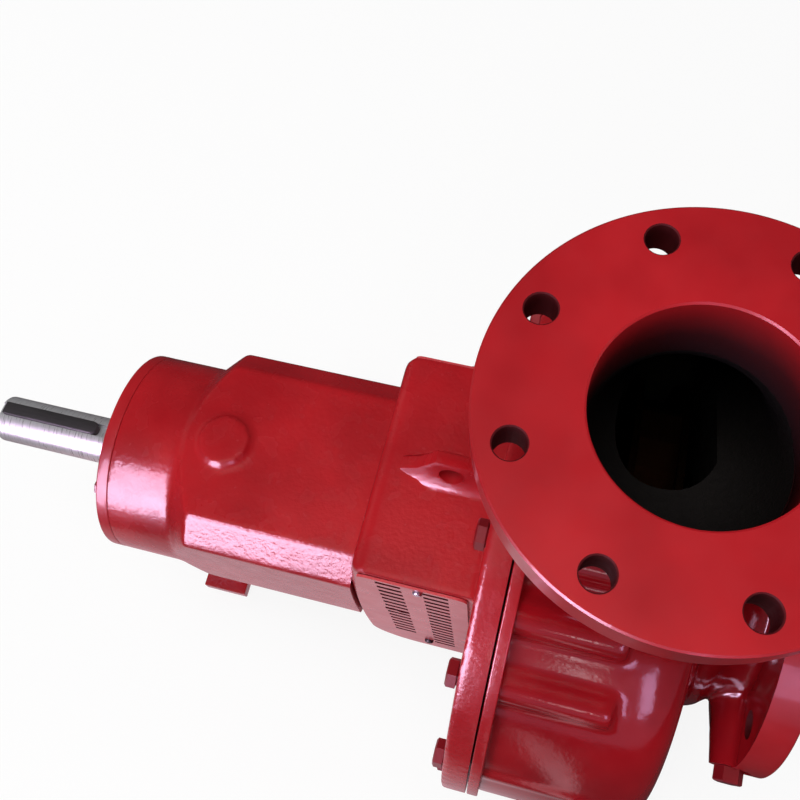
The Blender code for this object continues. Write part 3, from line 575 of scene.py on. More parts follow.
def section(centre, side, tall, wide, shift, power, count=56):
    """A rounded rectangle about a centre: tall along side, wide along the shaft."""
    ring_points = []
    for k in range(count):
        c = math.cos(2 * math.pi * k / count)
        s = math.sin(2 * math.pi * k / count)
        a = math.copysign(abs(c) ** (2 / power), c)
        b = math.copysign(abs(s) ** (2 / power), s)
        ring_points.append(centre + side * (a * tall) + Vector((shift + b * wide, 0, 0)))
    return ring_points


def spiral(name, grow_by, stations=84, steps=36):
    rings = []
    for k in range(stations + 1):
        share = k / stations
        degrees = TONGUE_ANGLE + (THROAT_ANGLE - TONGUE_ANGLE) * share
        angle = math.radians(degrees)
        out = Vector((0, -math.sin(angle), math.cos(angle)))
        outer = volute_radius(degrees, grow_by)
        inner = CHANNEL_INNER - grow_by
        middle = (outer + inner) / 2
        tall = (outer - inner) / 2
        wide = CHANNEL_HALF + CHANNEL_GROWTH * share + grow_by
        rings.append(section(out * middle, out, tall, wide, CHANNEL_SHIFT, CHANNEL_POWER))
    start = out * middle
    heading = Vector((0, -math.cos(angle), -math.sin(angle)))
    top = Vector((0, 0, neck_top - 0.030))
    path = (start, start + heading * NECK_RISE, top - Vector((0, 0, NECK_RISE * 0.8)), top)
    for k in range(1, steps + 1):
        t = k / steps
        u = 1 - t
        centre = path[0] * u**3 + path[1] * (3 * t * u * u) + path[2] * (3 * t * t * u) + path[3] * t**3
        along = (path[1] - path[0]) * u * u + (path[2] - path[1]) * 2 * t * u + (path[3] - path[2]) * t * t
        along.normalize()
        side = Vector((0, -along.z, along.y))
        side = side if side.dot(out) > 0 else -side
        ease = t * t * (3 - 2 * t)
        high = tall + (DISCHARGE_BORE + grow_by - tall) * ease
        broad = wide + (DISCHARGE_BORE + grow_by - wide) * ease
        power = CHANNEL_POWER - 0.8 * ease
        rings.append(section(centre, side, high, broad, CHANNEL_SHIFT * (1 - ease), power))
    return skin(name, rings)


print("channel grows from", TONGUE_RADIUS, "to", THROAT_RADIUS, "m from the shaft line")

# %% Lumps of the casing
BODY_LEAST = 0.190
BODY_MOST = 0.206
BODY_END = 0.001
BOSS_WIDTH = 0.031
BOSS_TOP = 0.2045
BOLTS = 12
TONGUE_RIB_ANGLE = 29.0
FOOT_SPAN = 0.500
FOOT_WIDTH = 0.075
FOOT_BACK = 0.035
FOOT_FRONT = 0.085
FOOT_THICKNESS = 0.018
FOOT_WEB = 0.028
FOOT_HOLE = 0.0095
FOOT_HOLE_SIDE = 0.210
FOOT_HOLE_STEP = 0.040
NECK_WALL = 0.013
PLUG_BOSS_INSIDE = 0.023
PLUG_BOSS_OUTSIDE = 0.015
SPOT_FACE = 0.0165
foot_middle = (FOOT_FRONT - FOOT_BACK) / 2
SPARE = 0.004
GAP = 0.0003
HAIRLINE = 0.00005
rear_edge = casing_face + CASING_FLANGE + HAIRLINE


def rear_body():
    """The body behind the spiral, which grows with it up to the joint flange."""
    outline = []
    for k in range(180):
        degrees = 2 * k
        radius = BODY_LEAST
        if TONGUE_ANGLE < degrees < THROAT_ANGLE:
            radius = min(max(volute_radius(degrees, WALL), BODY_LEAST), BODY_MOST)
        angle = math.radians(degrees)
        outline.append((-radius * math.sin(angle), radius * math.cos(angle)))
    return prism("rear_body", outline, rear_edge - SPARE, BODY_END, "x")


def bolt_boss(name):
    half = BOSS_WIDTH / 2
    outline = [(half, CHAMBER_RADIUS + 0.003)]
    for k in range(13):
        turn = math.pi * k / 12
        outline.append((half * math.cos(turn), BOSS_TOP - half + half * math.sin(turn)))
    outline.append((-half, CHAMBER_RADIUS + 0.003))
    return prism(name, outline, rear_edge - SPARE, BODY_END, "x")


def foot(side):
    outer = side * FOOT_SPAN / 2
    inner = side * (FOOT_SPAN / 2 - FOOT_WIDTH)
    low, high = sorted((outer, inner))
    top = -SHAFT_HEIGHT + FOOT_THICKNESS
    pad = block("pad", (-FOOT_BACK, low, -SHAFT_HEIGHT - SPARE), (FOOT_FRONT, high, top))
    outline = [(side * 0.120, -0.115), (side * 0.155, -0.060), (side * 0.185, -0.060),
               (outer - side * 0.012, top - 0.004), (inner + side * 0.002, top - 0.004)]
    return [pad, prism("web", outline, foot_middle - FOOT_WEB / 2, foot_middle + FOOT_WEB / 2, "x")]


def casing_lumps():
    neck = SUCTION_BORE + NECK_WALL
    front = CHAMBER_FRONT + WALL
    drum = bar("drum", [
        (rear_edge - SPARE, CHAMBER_RADIUS + WALL), (front - 0.004, CHAMBER_RADIUS + WALL),
        (front + 0.005, CHAMBER_RADIUS - 0.025), (suction_back - 0.048, neck + 0.022),
        (suction_back - 0.046, neck + 0.016), (suction_back - 0.034, neck + 0.013),
        (suction_back - 0.024, neck + 0.004), (suction_back - 0.016, neck),
        (suction_back, neck)])
    rim = SUCTION_RADIUS + SPARE
    suction = bar("suction", [(suction_back, rim), (SUCTION_REACH + SPARE, rim)])
    gauge = skin("gauge", [[(suction_back + r * math.cos(a), y, r * math.sin(a))
                            for a in [2 * math.pi * k / 48 for k in range(48)]]
                           for y, r in ((-neck + 0.010, PLUG_BOSS_INSIDE), (-rim, PLUG_BOSS_OUTSIDE))])
    discharge = upright(bar("discharge", [
        (neck_top - 0.034, DISCHARGE_BORE + WALL), (neck_top - 0.008, DISCHARGE_BORE + WALL),
        (neck_top, DISCHARGE_BORE + WALL + 0.003)]))
    rim = DISCHARGE_RADIUS + SPARE
    disc = upright(bar("disc", [(neck_top, rim), (DISCHARGE_HEIGHT + SPARE, rim)]))
    bosses = ring("bosses", bolt_boss("boss"), BOLTS, 180 / BOLTS, casing_enamel_painted_shade)
    rib = bolt_boss("rib")
    rib.data.transform(Matrix.Rotation(math.radians(TONGUE_RIB_ANGLE), 4, "X"))
    return [spiral("channel", WALL), drum, suction, gauge, discharge, disc, rear_body(), bosses, rib,
            *foot(-1), *foot(1)]


casing = cast("casing_casting", casing_lumps(), grain=0.0030, rounds=6, paint=casing_enamel_painted_shade)
print("cast skin of", len(casing.data.polygons), "faces")

# %% [markdown]
# ## Machining the casing
#
# A lathe tool is a ring whose inner profile is the finished flange, with its small
# chamfers. It takes the spare metal off the rim and the face together. Drills with a
# countersink stand in a ring round each flange. The channel's core and a stepped
# boring bar clear the waterway, and leave bare iron behind.


# %% Tools for the flanges
def turning_tool(radius, face, back):
    """Everything outside a disc's rim and in front of its face, with a chamfer between."""
    chamfer = 0.0012
    front = face + 0.03
    outside = radius + 0.03
    return turned("tool", [(back, radius), (face - chamfer, radius), (face, radius - chamfer), (face, 0.0),
                           (front, 0.0), (front, outside), (back, outside)])


def drills(circle_radius, hole, face):
    """A ring of drills that leave a small countersink at the face."""
    sink = 0.0008
    deep = FLANGE_THICKNESS + 0.012
    wide = hole + sink
    drill = bar("drill", [(face - deep, hole), (face - sink, hole), (face, wide), (face + 0.01, wide)], 40)
    drill.data.transform(Matrix.Translation((0, 0, circle_radius)))
    return ring("drills", drill, FLANGE_HOLES, FLANGE_TURN, machined_enamel)


def boring_bar(radius, low, face):
    sink = 0.0012
    wide = radius + sink
    return bar("boring_bar", [(low, radius), (face - sink, radius), (face, wide), (face + 0.02, wide)])


print("turning tools, drills and boring bars ready")

# %% Machine the casing
EYE_RADIUS = 0.070
EYE_WALL = 0.007
RING_PLAY = 0.001
RING_WALL = 0.007
RING_DEPTH = 0.021
OVERRUN = 0.006
eye_seat = EYE_RADIUS + EYE_WALL + RING_PLAY + RING_WALL + GAP


def mill_and_turn(body):
    """Flat faces for the joint and the feet, and both pipe flanges to size."""
    for tool in (
            block("joint_mill", (-0.2, -0.3, -0.4), (rear_edge, 0.3, 0.225)),
            block("foot_mill", (-0.2, -0.4, -0.4), (0.3, 0.4, -SHAFT_HEIGHT)),
            turning_tool(SUCTION_RADIUS, SUCTION_REACH, suction_back - OVERRUN),
            upright(turning_tool(DISCHARGE_RADIUS, DISCHARGE_HEIGHT, neck_top - OVERRUN))):
        machine(body, tool, machined_enamel)


def clear_waterway(body):
    """The spiral core, the impeller's chamber with the wear ring's seat, and both bores."""
    seat_end = CHAMBER_FRONT + RING_DEPTH
    bore = SUCTION_BORE - 0.001
    chamber = [
        (rear_edge - 0.01, CHAMBER_RADIUS), (CHAMBER_FRONT, CHAMBER_RADIUS), (CHAMBER_FRONT, eye_seat),
        (seat_end, eye_seat), (seat_end, bore), (SUCTION_REACH - 0.02, bore)]
    mouth = DISCHARGE_BORE + 0.0002
    machine(body, spiral("core", 0.0), dark_iron)
    machine(body, bar("chamber", chamber), dark_iron)
    machine(body, boring_bar(SUCTION_BORE, suction_back - 0.040, SUCTION_REACH), dark_iron)
    machine(body, upright(boring_bar(mouth, neck_top - 0.045, DISCHARGE_HEIGHT)), bore_enamel_and_painted_shade)


def drill_holes(body):
    """Bolt holes in both flanges and both feet, and the flat seat of the gauge plug."""
    # The hole walls take the painted-shade dark red.
    machine(body, drills(SUCTION_CIRCLE, SUCTION_HOLE, SUCTION_REACH), painted_shade_red)
    machine(body, upright(drills(DISCHARGE_CIRCLE, DISCHARGE_HOLE, DISCHARGE_HEIGHT)), painted_shade_red)
    for side in (-FOOT_HOLE_SIDE, FOOT_HOLE_SIDE):
        for x in (foot_middle - FOOT_HOLE_STEP, foot_middle + FOOT_HOLE_STEP):
            hole = rod("hole", (x, side), FOOT_HOLE, -SHAFT_HEIGHT - 0.01, -0.24, "z")
            machine(body, hole, machined_enamel)
    low = -SUCTION_RADIUS - 0.02
    seat = rod("spot_face", (suction_back, 0), SPOT_FACE, low, -SUCTION_RADIUS + 0.002, "y")
    machine(body, seat, machined_enamel)


mill_and_turn(casing)
clear_waterway(casing)
drill_holes(casing)
fit(casing, "pump_body", "volute_casing", "discharge_flange", "suction_flange", slot="casing_paint")

# %% The ring of the joint flange
ring_profile = [(casing_face, CHAMBER_RADIUS), (casing_face + CASING_FLANGE, CHAMBER_RADIUS),
                (casing_face + CASING_FLANGE, JOINT_RADIUS), (casing_face, JOINT_RADIUS)]
joint_ring = dip(turned("joint_ring", eased(ring_profile, 0.0012), 192), cast_enamel)
fit(joint_ring, "pump_body", "casing_flange", slot="joint_paint")

# %% [markdown]
# ## The lantern
#
# The lantern joins the casing to the bearing frame and leaves room to reach the shaft
# seal. It is one casting: a thick round flange, a box whose back bulges and whose lower
# corner is a wide curve, and a lifting lug on the roof. The windows in its sides are
# closed by slotted sheet guards, so that no finger reaches the turning shaft.

# %% Sizes and side view of the lantern
LANTERN_HEIGHT = 0.286
LANTERN_WIDTH = 0.1736
LANTERN_WALL = 0.011
LANTERN_BULGE = 0.0122
BULGE_LEVEL = -0.040
LANTERN_CORNER = 0.050
RIM_RADIUS = 0.188
RIM_THICKNESS = 0.008
INNER_CAP_RADIUS = 0.068
LUG_HEIGHT = 0.034
LUG_EYE = 0.0093
WINDOW_MARGIN = 0.023
roof = LANTERN_HEIGHT / 2
lug_eye_place = (-LANTERN_BACK + 0.057, roof + 0.0165)


def arc(centre, radius, start, end, steps):
    for k in range(steps + 1):
        angle = math.radians(start + (end - start) * k / steps)
        yield centre[0] + radius * math.cos(angle), centre[1] + radius * math.sin(angle)


def bulge_reach(level):
    top = roof - BULGE_LEVEL
    return LANTERN_BACK + LANTERN_BULGE * (1 - ((level - BULGE_LEVEL) / top) ** 2)


def side_view(front, inset, corner=0.0, top_inset=None):
    """The lantern's side outline, drawn in by inset, with round front corners if asked."""
    high = roof - (inset if top_inset is None else top_inset)
    low = inset - roof
    turn = LANTERN_CORNER - inset
    levels = [high + (low + turn - high) * k / 16 for k in range(17)]
    points = [(inset - bulge_reach(level), level) for level in levels]
    points += list(arc((points[-1][0] + turn, low + turn), turn, 180, 270, 16))[1:]
    if corner:
        points += list(arc((front - corner, low + corner), corner, -90, 0, 6))
        return points + list(arc((front - corner, high - corner), corner, 0, 90, 6))
    return points + [(front, low), (front, high)]


def lantern_block(name, inset, front):
    half = LANTERN_WIDTH / 2 - inset
    return prism(name, side_view(front, inset), -half, half, "y")


def rounded_back(body, roof_edge, corners):
    """Rounds the edge between roof and back wall, and the back wall's upright corners."""
    bm = bmesh.new()
    bm.from_mesh(body.data)
    for size, along_y in ((roof_edge, True), (corners, False)):
        picked = []
        for edge in bm.edges:
            a, b = edge.verts[0].co, edge.verts[1].co
            crosswise = abs(a.y - b.y) > 0.1
            at_back = max(a.x, b.x) < -LANTERN_BACK + 0.004 and edge.calc_face_angle(0.0) > 0.9
            if at_back and crosswise == along_y:
                picked.append(edge)
        bmesh.ops.bevel(bm, geom=picked, offset=size, segments=5, profile=0.5, affect="EDGES",
                        clamp_overlap=False)
    bm.to_mesh(body.data)
    bm.free()
    return body


print("lantern back reaches", round(bulge_reach(BULGE_LEVEL), 4), "m from the discharge line")

# %% Cast and machine the lantern
lug_start = -LANTERN_BACK + 0.017
lug_end = adapter_rear + 0.010
lug_foot = roof - 0.006
lug_top = roof + LUG_HEIGHT
lug_outline = [
    (lug_start, lug_foot), (lug_start, roof + 0.001), (lug_start + 0.014, roof + 0.012),
    (lug_start + 0.028, lug_top + 0.001), (lug_start + 0.056, lug_top - 0.004),
    (lug_end, lug_top - 0.013), (lug_end, lug_foot)]
LUG_FLARE = [(0.0170, 0.13), (0.0138, 0.19), (0.0108, 0.29), (0.0085, 0.42), (0.0069, 0.60),
             (0.0057, 0.80), (0.0049, 0.95), (0.0044, 0.985), (0.0034, 1.0)]


def lug_slice(y, share):
    """The lug's outline at one depth; a low share makes the flared foot of the casting."""
    return [(x, y, lug_foot + (z - lug_foot) * share) for x, z in lug_outline]


lug = skin("lug", [lug_slice(-y, share) for y, share in LUG_FLARE]
           + [lug_slice(y, share) for y, share in reversed(LUG_FLARE)])
disc_steps = [(adapter_rear, 0.02), (adapter_rear, JOINT_RADIUS), (-JOINT_REACH + SPARE, JOINT_RADIUS)]
flange_disc = bar("disc", eased(disc_steps, 0.002, closed=False))
shell = rounded_back(lantern_block("shell", 0.0, adapter_rear + 0.012), 0.009, 0.007)
lantern = cast("lantern_casting", [shell, flange_disc], grain=0.0026, rounds=6, paint=cast_enamel)
machine(lantern, lug, cast_enamel, "UNION")


def machine_lantern(body):
    joint = -JOINT_REACH
    machine(body, block("joint_mill", (joint, -0.3, -0.3), (joint + 0.1, 0.3, 0.3)), machined_enamel)
    # The hollow and the windows take the painted-shade dark red.
    machine(body, lantern_block("hollow", LANTERN_WALL, joint + 0.01), painted_shade_red)
    seat = RIM_RADIUS + GAP
    recess = casing_face - RIM_THICKNESS - 0.0006
    machine(body, bar("rim_seat", [(recess, seat), (joint + 0.01, seat)]), machined_enamel)
    machine(body, rod("cap_hole", (0, 0), INNER_CAP_RADIUS + 0.0018, -0.26, -0.168, "x", 96), machined_enamel)
    windows = side_view(adapter_rear - 0.006, WINDOW_MARGIN, 0.006)
    machine(body, prism("windows", windows, -LANTERN_WIDTH, LANTERN_WIDTH, "y"), painted_shade_red)
    machine(body, rod("lug_drill", lug_eye_place, LUG_EYE, -0.03, 0.03, "y"), machined_enamel)
    return body


machine_lantern(lantern)
fit(lantern, "pump_body", "lantern", slot="lantern_paint")

# %% [markdown]
# ## The slotted guards
#
# A guard is laser-cut sheet, two millimetres thick. Its two columns of slots have
# different lengths, which is how the real one is punched. A tree makes one column of
# slot-shaped cutters, and one cut opens them all. One slot of the near guard is torn
# wider than the others.


# %% A geometry-nodes tree for a column of slots
def column_tree():
    tree, given = new_tree("column_of_slots", [
        ("Rows", "Int"), ("Pitch", "Float"), ("Top", "Vector"), ("Size", "Vector"),
        ("Material", "Material")])
    down = add(tree, "ShaderNodeCombineXYZ", {"Z": calc(tree, "MULTIPLY", given["Pitch"], -1.0)})
    places = add(tree, "GeometryNodeMeshLine", {
        "Count": given["Rows"], "Start Location": given["Top"], "Offset": down})
    slot = add(tree, "GeometryNodeMeshCube", {"Size": given["Size"]})
    copies = add(tree, "GeometryNodeInstanceOnPoints", {"Points": places, "Instance": slot})
    return close_tree(tree, copies, given["Material"])


COLUMN = column_tree()
print("column tree has", len(COLUMN.nodes), "nodes")

# %% Make both guards with their screws
GUARD_THICKNESS = 0.002
GUARD_MARGIN = 0.006
GUARD_TOP_MARGIN = 0.0045
GUARD_CORNER = 0.008
SLOT_ROWS = (15, 17)
SLOT_PITCH = 0.0147
SLOT_LENGTH = 0.019
SLOT_WIDTH = 0.0068
SLOT_EDGE = 0.0285
SLOT_SPACING = 0.0355
SLOT_TOP_MARGIN = 0.0125
TORN_SLOT = [(-0.1805, 0.0290), (-0.1725, 0.0325), (-0.1690, 0.0290), (-0.1600, 0.0305),
             (-0.1595, 0.0225), (-0.1665, 0.0200), (-0.1710, 0.0235), (-0.1800, 0.0215)]
UPPER_SCREW = (-0.147, 0.131)
LOWER_SCREW = (-0.149, -0.104)
guard_inside = LANTERN_WIDTH / 2 + GAP


def make_guard(name, side):
    inner = side * guard_inside
    near, far = sorted((inner, inner + side * GUARD_THICKNESS))
    outline = side_view(adapter_rear - GUARD_MARGIN, GUARD_MARGIN, GUARD_CORNER, GUARD_TOP_MARGIN)
    outline = eased(outline, GUARD_CORNER)
    guard = dip(prism(name, outline, near, far, "y"), sheet_enamel_painted_light)
    for column, rows in enumerate(SLOT_ROWS):
        top = (-LANTERN_BACK + SLOT_EDGE + column * SLOT_SPACING, (near + far) / 2, roof - SLOT_TOP_MARGIN)
        # The slot cutters carry the painted-shade dark red onto the slot walls.
        slots = grow("slots", COLUMN, Rows=rows, Pitch=SLOT_PITCH, Top=top,
                     Size=(SLOT_LENGTH, 0.02, SLOT_WIDTH), Material=painted_shade_red)
        machine(guard, slots, painted_shade_red)
    if side < 0:
        machine(guard, prism("torn_slot", TORN_SLOT, near - 0.01, far + 0.01, "y"), painted_shade_red)
    return guard


def guard_screw(name, place, side, radius, material):
    """A pan-head screw that holds the guard."""
    base = guard_inside + GUARD_THICKNESS
    profile = [(base - 0.003, 0.0), (base - 0.003, radius), (base + 0.0012, radius),
               (base + 0.0024, radius * 0.8), (base + 0.0030, radius * 0.3), (base + 0.0030, 0.0)]
    screw = dip(turned(name, profile, 32), material)
    outwards = Matrix.Rotation(math.radians(side * 90), 4, "Z")
    screw.data.transform(Matrix.Translation((place[0], 0, place[1])) @ outwards)
    return screw


for label, side in (("near", -1), ("far", 1)):
    fit(make_guard("guard_sheet_" + label, side), "pump_body", "guard_" + label, slot=f"guard_{label}_paint")
    fit(guard_screw("upper_screw_" + label, UPPER_SCREW, side, 0.0038, zinc_steel), "pump_body")
    fit(guard_screw("lower_screw_" + label, LOWER_SCREW, side, 0.0042, black_screw), "pump_body")

# %% [markdown]
# ## The bearing frame
#
# The frame holds the two bearings in oil. Its drive end is a round drum, and behind
# the drum a box with sloping shoulders runs up to the lantern. The slopes where they
# meet are a cone, left by the pattern's draft. A round pad on the roof carries the filler.

# %% Cast and machine the bearing frame
BOX_TOP = 0.090
BOX_FLAT = 0.0655
BOX_HALF = 0.0875
BOX_KEEL = 0.055
BOX_KEEL_LIFT = 0.016
DRUM_LENGTH = 0.0554
FRAME_BORE = 0.058
PAD_INSET = 0.0912
PAD_RADIUS = 0.021
PAD_RISE = 0.005


def frame_lumps():
    end = -FRAME_REACH
    front = -LANTERN_BACK
    drum = bar("drum", [(end - SPARE, DRUM_RADIUS), (front, DRUM_RADIUS)])
    slope = BOX_HALF - BOX_FLAT
    half = [(BOX_FLAT, BOX_TOP), (BOX_HALF, BOX_TOP - slope),
            (BOX_HALF, -BOX_TOP + slope + BOX_KEEL_LIFT), (BOX_KEEL, -BOX_TOP)]
    shell = prism("shell", half + [(-y, z) for y, z in reversed(half)], end + DRUM_LENGTH, front, "x")
    start = end + DRUM_LENGTH - 0.001
    reach = BOX_HALF * 1.5
    wide = reach - 0.001
    cone_end = start + reach - DRUM_RADIUS
    cone = bar("cone", [(start, DRUM_RADIUS - 0.001), (cone_end, wide), (front + 0.01, wide)])
    machine(dip(shell, cast_enamel), cone, cast_enamel, "INTERSECT")
    pad = rod("pad", (end + PAD_INSET, 0), PAD_RADIUS, BOX_TOP - 0.01, BOX_TOP + PAD_RISE, "z", 64)
    return [drum, shell, pad]


def machine_frame(body):
    end = -FRAME_REACH
    machine(body, block("end_mill", (end - 0.1, -0.2, -0.2), (end, 0.2, 0.2)), machined_enamel)
    lantern_seat = prism("seat", side_view(0.0, -GAP), -LANTERN_WIDTH, LANTERN_WIDTH, "y")
    spigot = rod("spigot", (0, 0), INNER_CAP_RADIUS + 0.0015, end, 0.08, "x", 96)
    machine(dip(lantern_seat, machined_enamel), spigot, machined_enamel)
    machine(body, lantern_seat, machined_enamel)
    machine(body, rod("bore", (0, 0), FRAME_BORE, end - 0.01, -LANTERN_BACK + 0.02, "x", 96), grey_iron)
    return body


frame_casting = cast("frame_casting", frame_lumps(), grain=0.0025, rounds=7, paint=cast_enamel)
machine_frame(frame_casting)
fit(frame_casting, "pump_body", "bearing_frame", slot="frame_paint")

# %% [markdown]
# The end cap is turned, so its edges are crisp. Four hex bolts hold it. Under the drum
# a cast leg carries the drive end, so that the pump stands level without its base.


# %% Hex bolts and drive end cap
def hex_head(name, across, height, seat, radius):
    """A chamfered hexagon head with its washer face, on one side of a ring, pointing to -X."""
    corner = across / 2 / math.cos(math.pi / 6)
    washer = seat - 0.001
    wide = corner * 1.06
    head = bar(name, [(seat - height, corner * 0.86), (seat - height * 0.86, corner), (washer, corner),
                      (washer, corner * 0.8), (seat + 0.004, corner * 0.5)], 6)
    chamfer = bar("chamfer", [(seat - height, across / 2 * 0.96), (seat - height * 0.80, wide),
                              (seat + 0.005, wide)], 48)
    machine(dip(head, cast_enamel), chamfer, cast_enamel, "INTERSECT")
    head.data.transform(Matrix.Translation((0, 0, radius)))
    return head


OIL_SEAL_RADIUS = 0.034
CAP_THICKNESS = 0.0105
CAP_SPIGOT = 0.010
cap_high = -FRAME_REACH - GAP
cap_low = cap_high - CAP_THICKNESS
spigot_end = cap_high + CAP_SPIGOT
spigot_radius = FRAME_BORE - GAP
cap_profile = [(cap_low, OIL_SEAL_RADIUS), (spigot_end, OIL_SEAL_RADIUS), (spigot_end, spigot_radius),
               (cap_high, spigot_radius), (cap_high, DRUM_RADIUS), (cap_low, DRUM_RADIUS)]
end_cap = dip(turned("end_cap", eased(cap_profile, 0.0011)), machined_enamel)
fit(end_cap, "pump_body", "drive_end_cap", slot="cap_paint")
cap_bolts = ring("cap_bolts", hex_head("bolt", 0.013, 0.0055, cap_low, 0.074), 4, 45, bolt_enamel)
fit(cap_bolts, "pump_body")

# %% Rear support foot
SUPPORT_INSET = 0.0257
SUPPORT_LENGTH = 0.048
SUPPORT_SPAN = 0.140
SUPPORT_PLATE = 0.014
LEG_HALF = 0.008
LEG_SIDE = 0.045
support_middle = -FRAME_REACH + SUPPORT_INSET
support_low = support_middle - SUPPORT_LENGTH / 2
support_high = support_middle + SUPPORT_LENGTH / 2
leg_low = support_middle - LEG_HALF
leg_high = support_middle + LEG_HALF
plate_half = SUPPORT_SPAN / 2
ground = -SHAFT_HEIGHT
plate_top = ground + SUPPORT_PLATE
saddle_low = -DRUM_RADIUS - 0.012
support = cast("support_casting", [
    block("plate", (support_low, -plate_half, ground - SPARE), (support_high, plate_half, plate_top)),
    block("leg", (leg_low, -LEG_SIDE, ground), (leg_high, LEG_SIDE, -DRUM_RADIUS)),
    block("saddle", (support_low, -LEG_SIDE, saddle_low), (support_high, LEG_SIDE, -DRUM_RADIUS * 0.8))],
    grain=0.002, rounds=4, paint=cast_enamel)
machine(support, block("foot_mill", (-0.6, -0.2, -0.4), (0, 0.2, ground)), machined_enamel)
machine(support, rod("drum", (0, 0), DRUM_RADIUS + GAP, -0.6, -0.2, "x", 144), machined_enamel)
fit(support, "pump_body", "rear_support_foot", slot="support_paint")

# %% [markdown]
# Twelve bolts clamp the lantern to the casing. Their heads sit behind the thick
# flange, where a spanner reaches them. The gauge plug closes a tapped boss on the
# suction flange.

# %% Joint bolts and gauge plug
BOLT_CIRCLE = 0.195
PLUG_RADIUS = 0.0115
joint_bolt = hex_head("bolt", 0.019, 0.0085, adapter_rear, BOLT_CIRCLE)
joint_bolts = ring("joint_bolts", joint_bolt, BOLTS, 180 / BOLTS, bolt_enamel)
fit(joint_bolts, "pump_body")
plug_seat = SUCTION_RADIUS - 0.0017
plug_steps = [(-plug_seat - 0.012, 0.0100), (-plug_seat - 0.011, PLUG_RADIUS), (-plug_seat, PLUG_RADIUS)]
plug = dip(bar("gauge_plug", plug_steps, 6), bolt_enamel)
plug.data.transform(Matrix.Translation((suction_back, 0, 0)) @ Matrix.Rotation(math.radians(90), 4, "Z"))
fit(plug, "pump_body", "suction_plug", slot="plug_paint")

# %% [markdown]
# ## The shaft
#
# The shaft is ground bright. Its drive end has a keyway, cut by an end mill that
# leaves a round inner end, and a dark drawn-steel key that takes the coupling.

# %% Turn the shaft and mill its keyway
KEY_WIDTH = 0.012
KEY_HEIGHT = 0.008
KEY_LENGTH = 0.092
KEY_INSET = 0.006
KEYWAY_LENGTH = 0.131
KEY_ANGLE = -9.0
SHAFT_RADIUS = 0.021
SEAT_RADIUS = 0.025
BODY_RADIUS = 0.0275
NOSE_RADIUS = 0.018
SLEEVE_SEAT = NOSE_RADIUS + 0.003
THREAD_RADIUS = 0.012
key_bottom = SHAFT_RADIUS - 0.005


def key_shape(name, low, high, bottom, top, half):
    """A bar along X with a round inner end, turned to the key's place on the shaft."""
    outline = [(low, -half)] + list(arc((high - half, 0), half, -90, 90, 16)) + [(low, half)]
    shape = prism(name, outline, bottom, top, "z")
    shape.data.transform(Matrix.Rotation(math.radians(KEY_ANGLE), 4, "X"))
    return shape


def shaft_steps():
    end = -DRIVE_REACH
    cap = -FRAME_REACH + CAP_SPIGOT
    back = -LANTERN_BACK
    hub_back = -0.040
    hub_front = 0.027
    steps = [(end, 0.012), (end, SHAFT_RADIUS), (cap, SHAFT_RADIUS), (cap, SEAT_RADIUS),
             (cap + 0.042, SEAT_RADIUS), (cap + 0.042, BODY_RADIUS), (back - 0.057, BODY_RADIUS),
             (back - 0.057, SEAT_RADIUS), (back - 0.012, SEAT_RADIUS), (back - 0.012, SLEEVE_SEAT),
             (hub_back, SLEEVE_SEAT), (hub_back, NOSE_RADIUS), (hub_front, NOSE_RADIUS),
             (hub_front, THREAD_RADIUS), (0.045, THREAD_RADIUS)]
    return eased(steps[:3], 0.004, closed=False, steps=6) + steps[3:]


shaft = dip(bar("shaft_bar", shaft_steps(), 128), ground_steel)
way_end = -DRIVE_REACH + KEYWAY_LENGTH
keyway = key_shape("way", -DRIVE_REACH - 0.01, way_end, key_bottom, 0.04, KEY_WIDTH / 2)
machine(shaft, keyway, ground_steel)
fit(shaft, "rotor", "shaft", slot="shaft_steel")
print("keyway ends", round(way_end, 4), "m from the discharge line")

# %% The key, with its edges broken
key_low = -DRIVE_REACH + KEY_INSET
key_seat = key_bottom + GAP
key_end = key_low + KEY_LENGTH
key = key_shape("key_bar", key_low, key_end, key_seat, key_seat + KEY_HEIGHT, KEY_WIDTH / 2 - GAP)
dip(key, key_steel)
edge = key.modifiers.new("edge", "BEVEL")
edge.width = 0.0005
edge.segments = 2
bake(key)
fit(key, "rotor", "shaft_key", slot="key_steel")

# %% [markdown]
# ## Pieces that stay as they are
#
# Round pieces deep inside the pump need no new shape, only their real finishes:
# bronze where water passes, ground steel where bearings run, rubber at the seals.

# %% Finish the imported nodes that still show
FINISHES = {
    "casing_cover": dark_iron, "seal_gland": turned_bronze, "suction_wear_ring": turned_bronze,
    "back_wear_ring": turned_bronze, "drive_oil_seal": black_rubber, "drive_bearing": ground_steel,
    "pump_bearing": ground_steel, "inner_bearing_cap": cast_enamel, "impeller": cast_bronze,
    "impeller_nut": turned_bronze, "shaft_sleeve": ground_steel, "deflector": black_rubber,
}
for node, finish in FINISHES.items():
    dip(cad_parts[node], finish)
print("finished", len(FINISHES), "packed nodes")

# %% [markdown]
# ## Floor and light
#
# The photograph is a cut-out on white, lit softly from above, with windows on the
# near side. Faces that lean towards the windows carry pale, slightly violet reflections,
# while the roofs stay deep red. So there are two kinds of lamps. Some only light the
# object, evenly and from all round, and some only shine in the paint, as windows do.
# The floor is white to the camera, but the paint sees it dark, apart from one patch
# beside the lantern and one strip beside the casing.


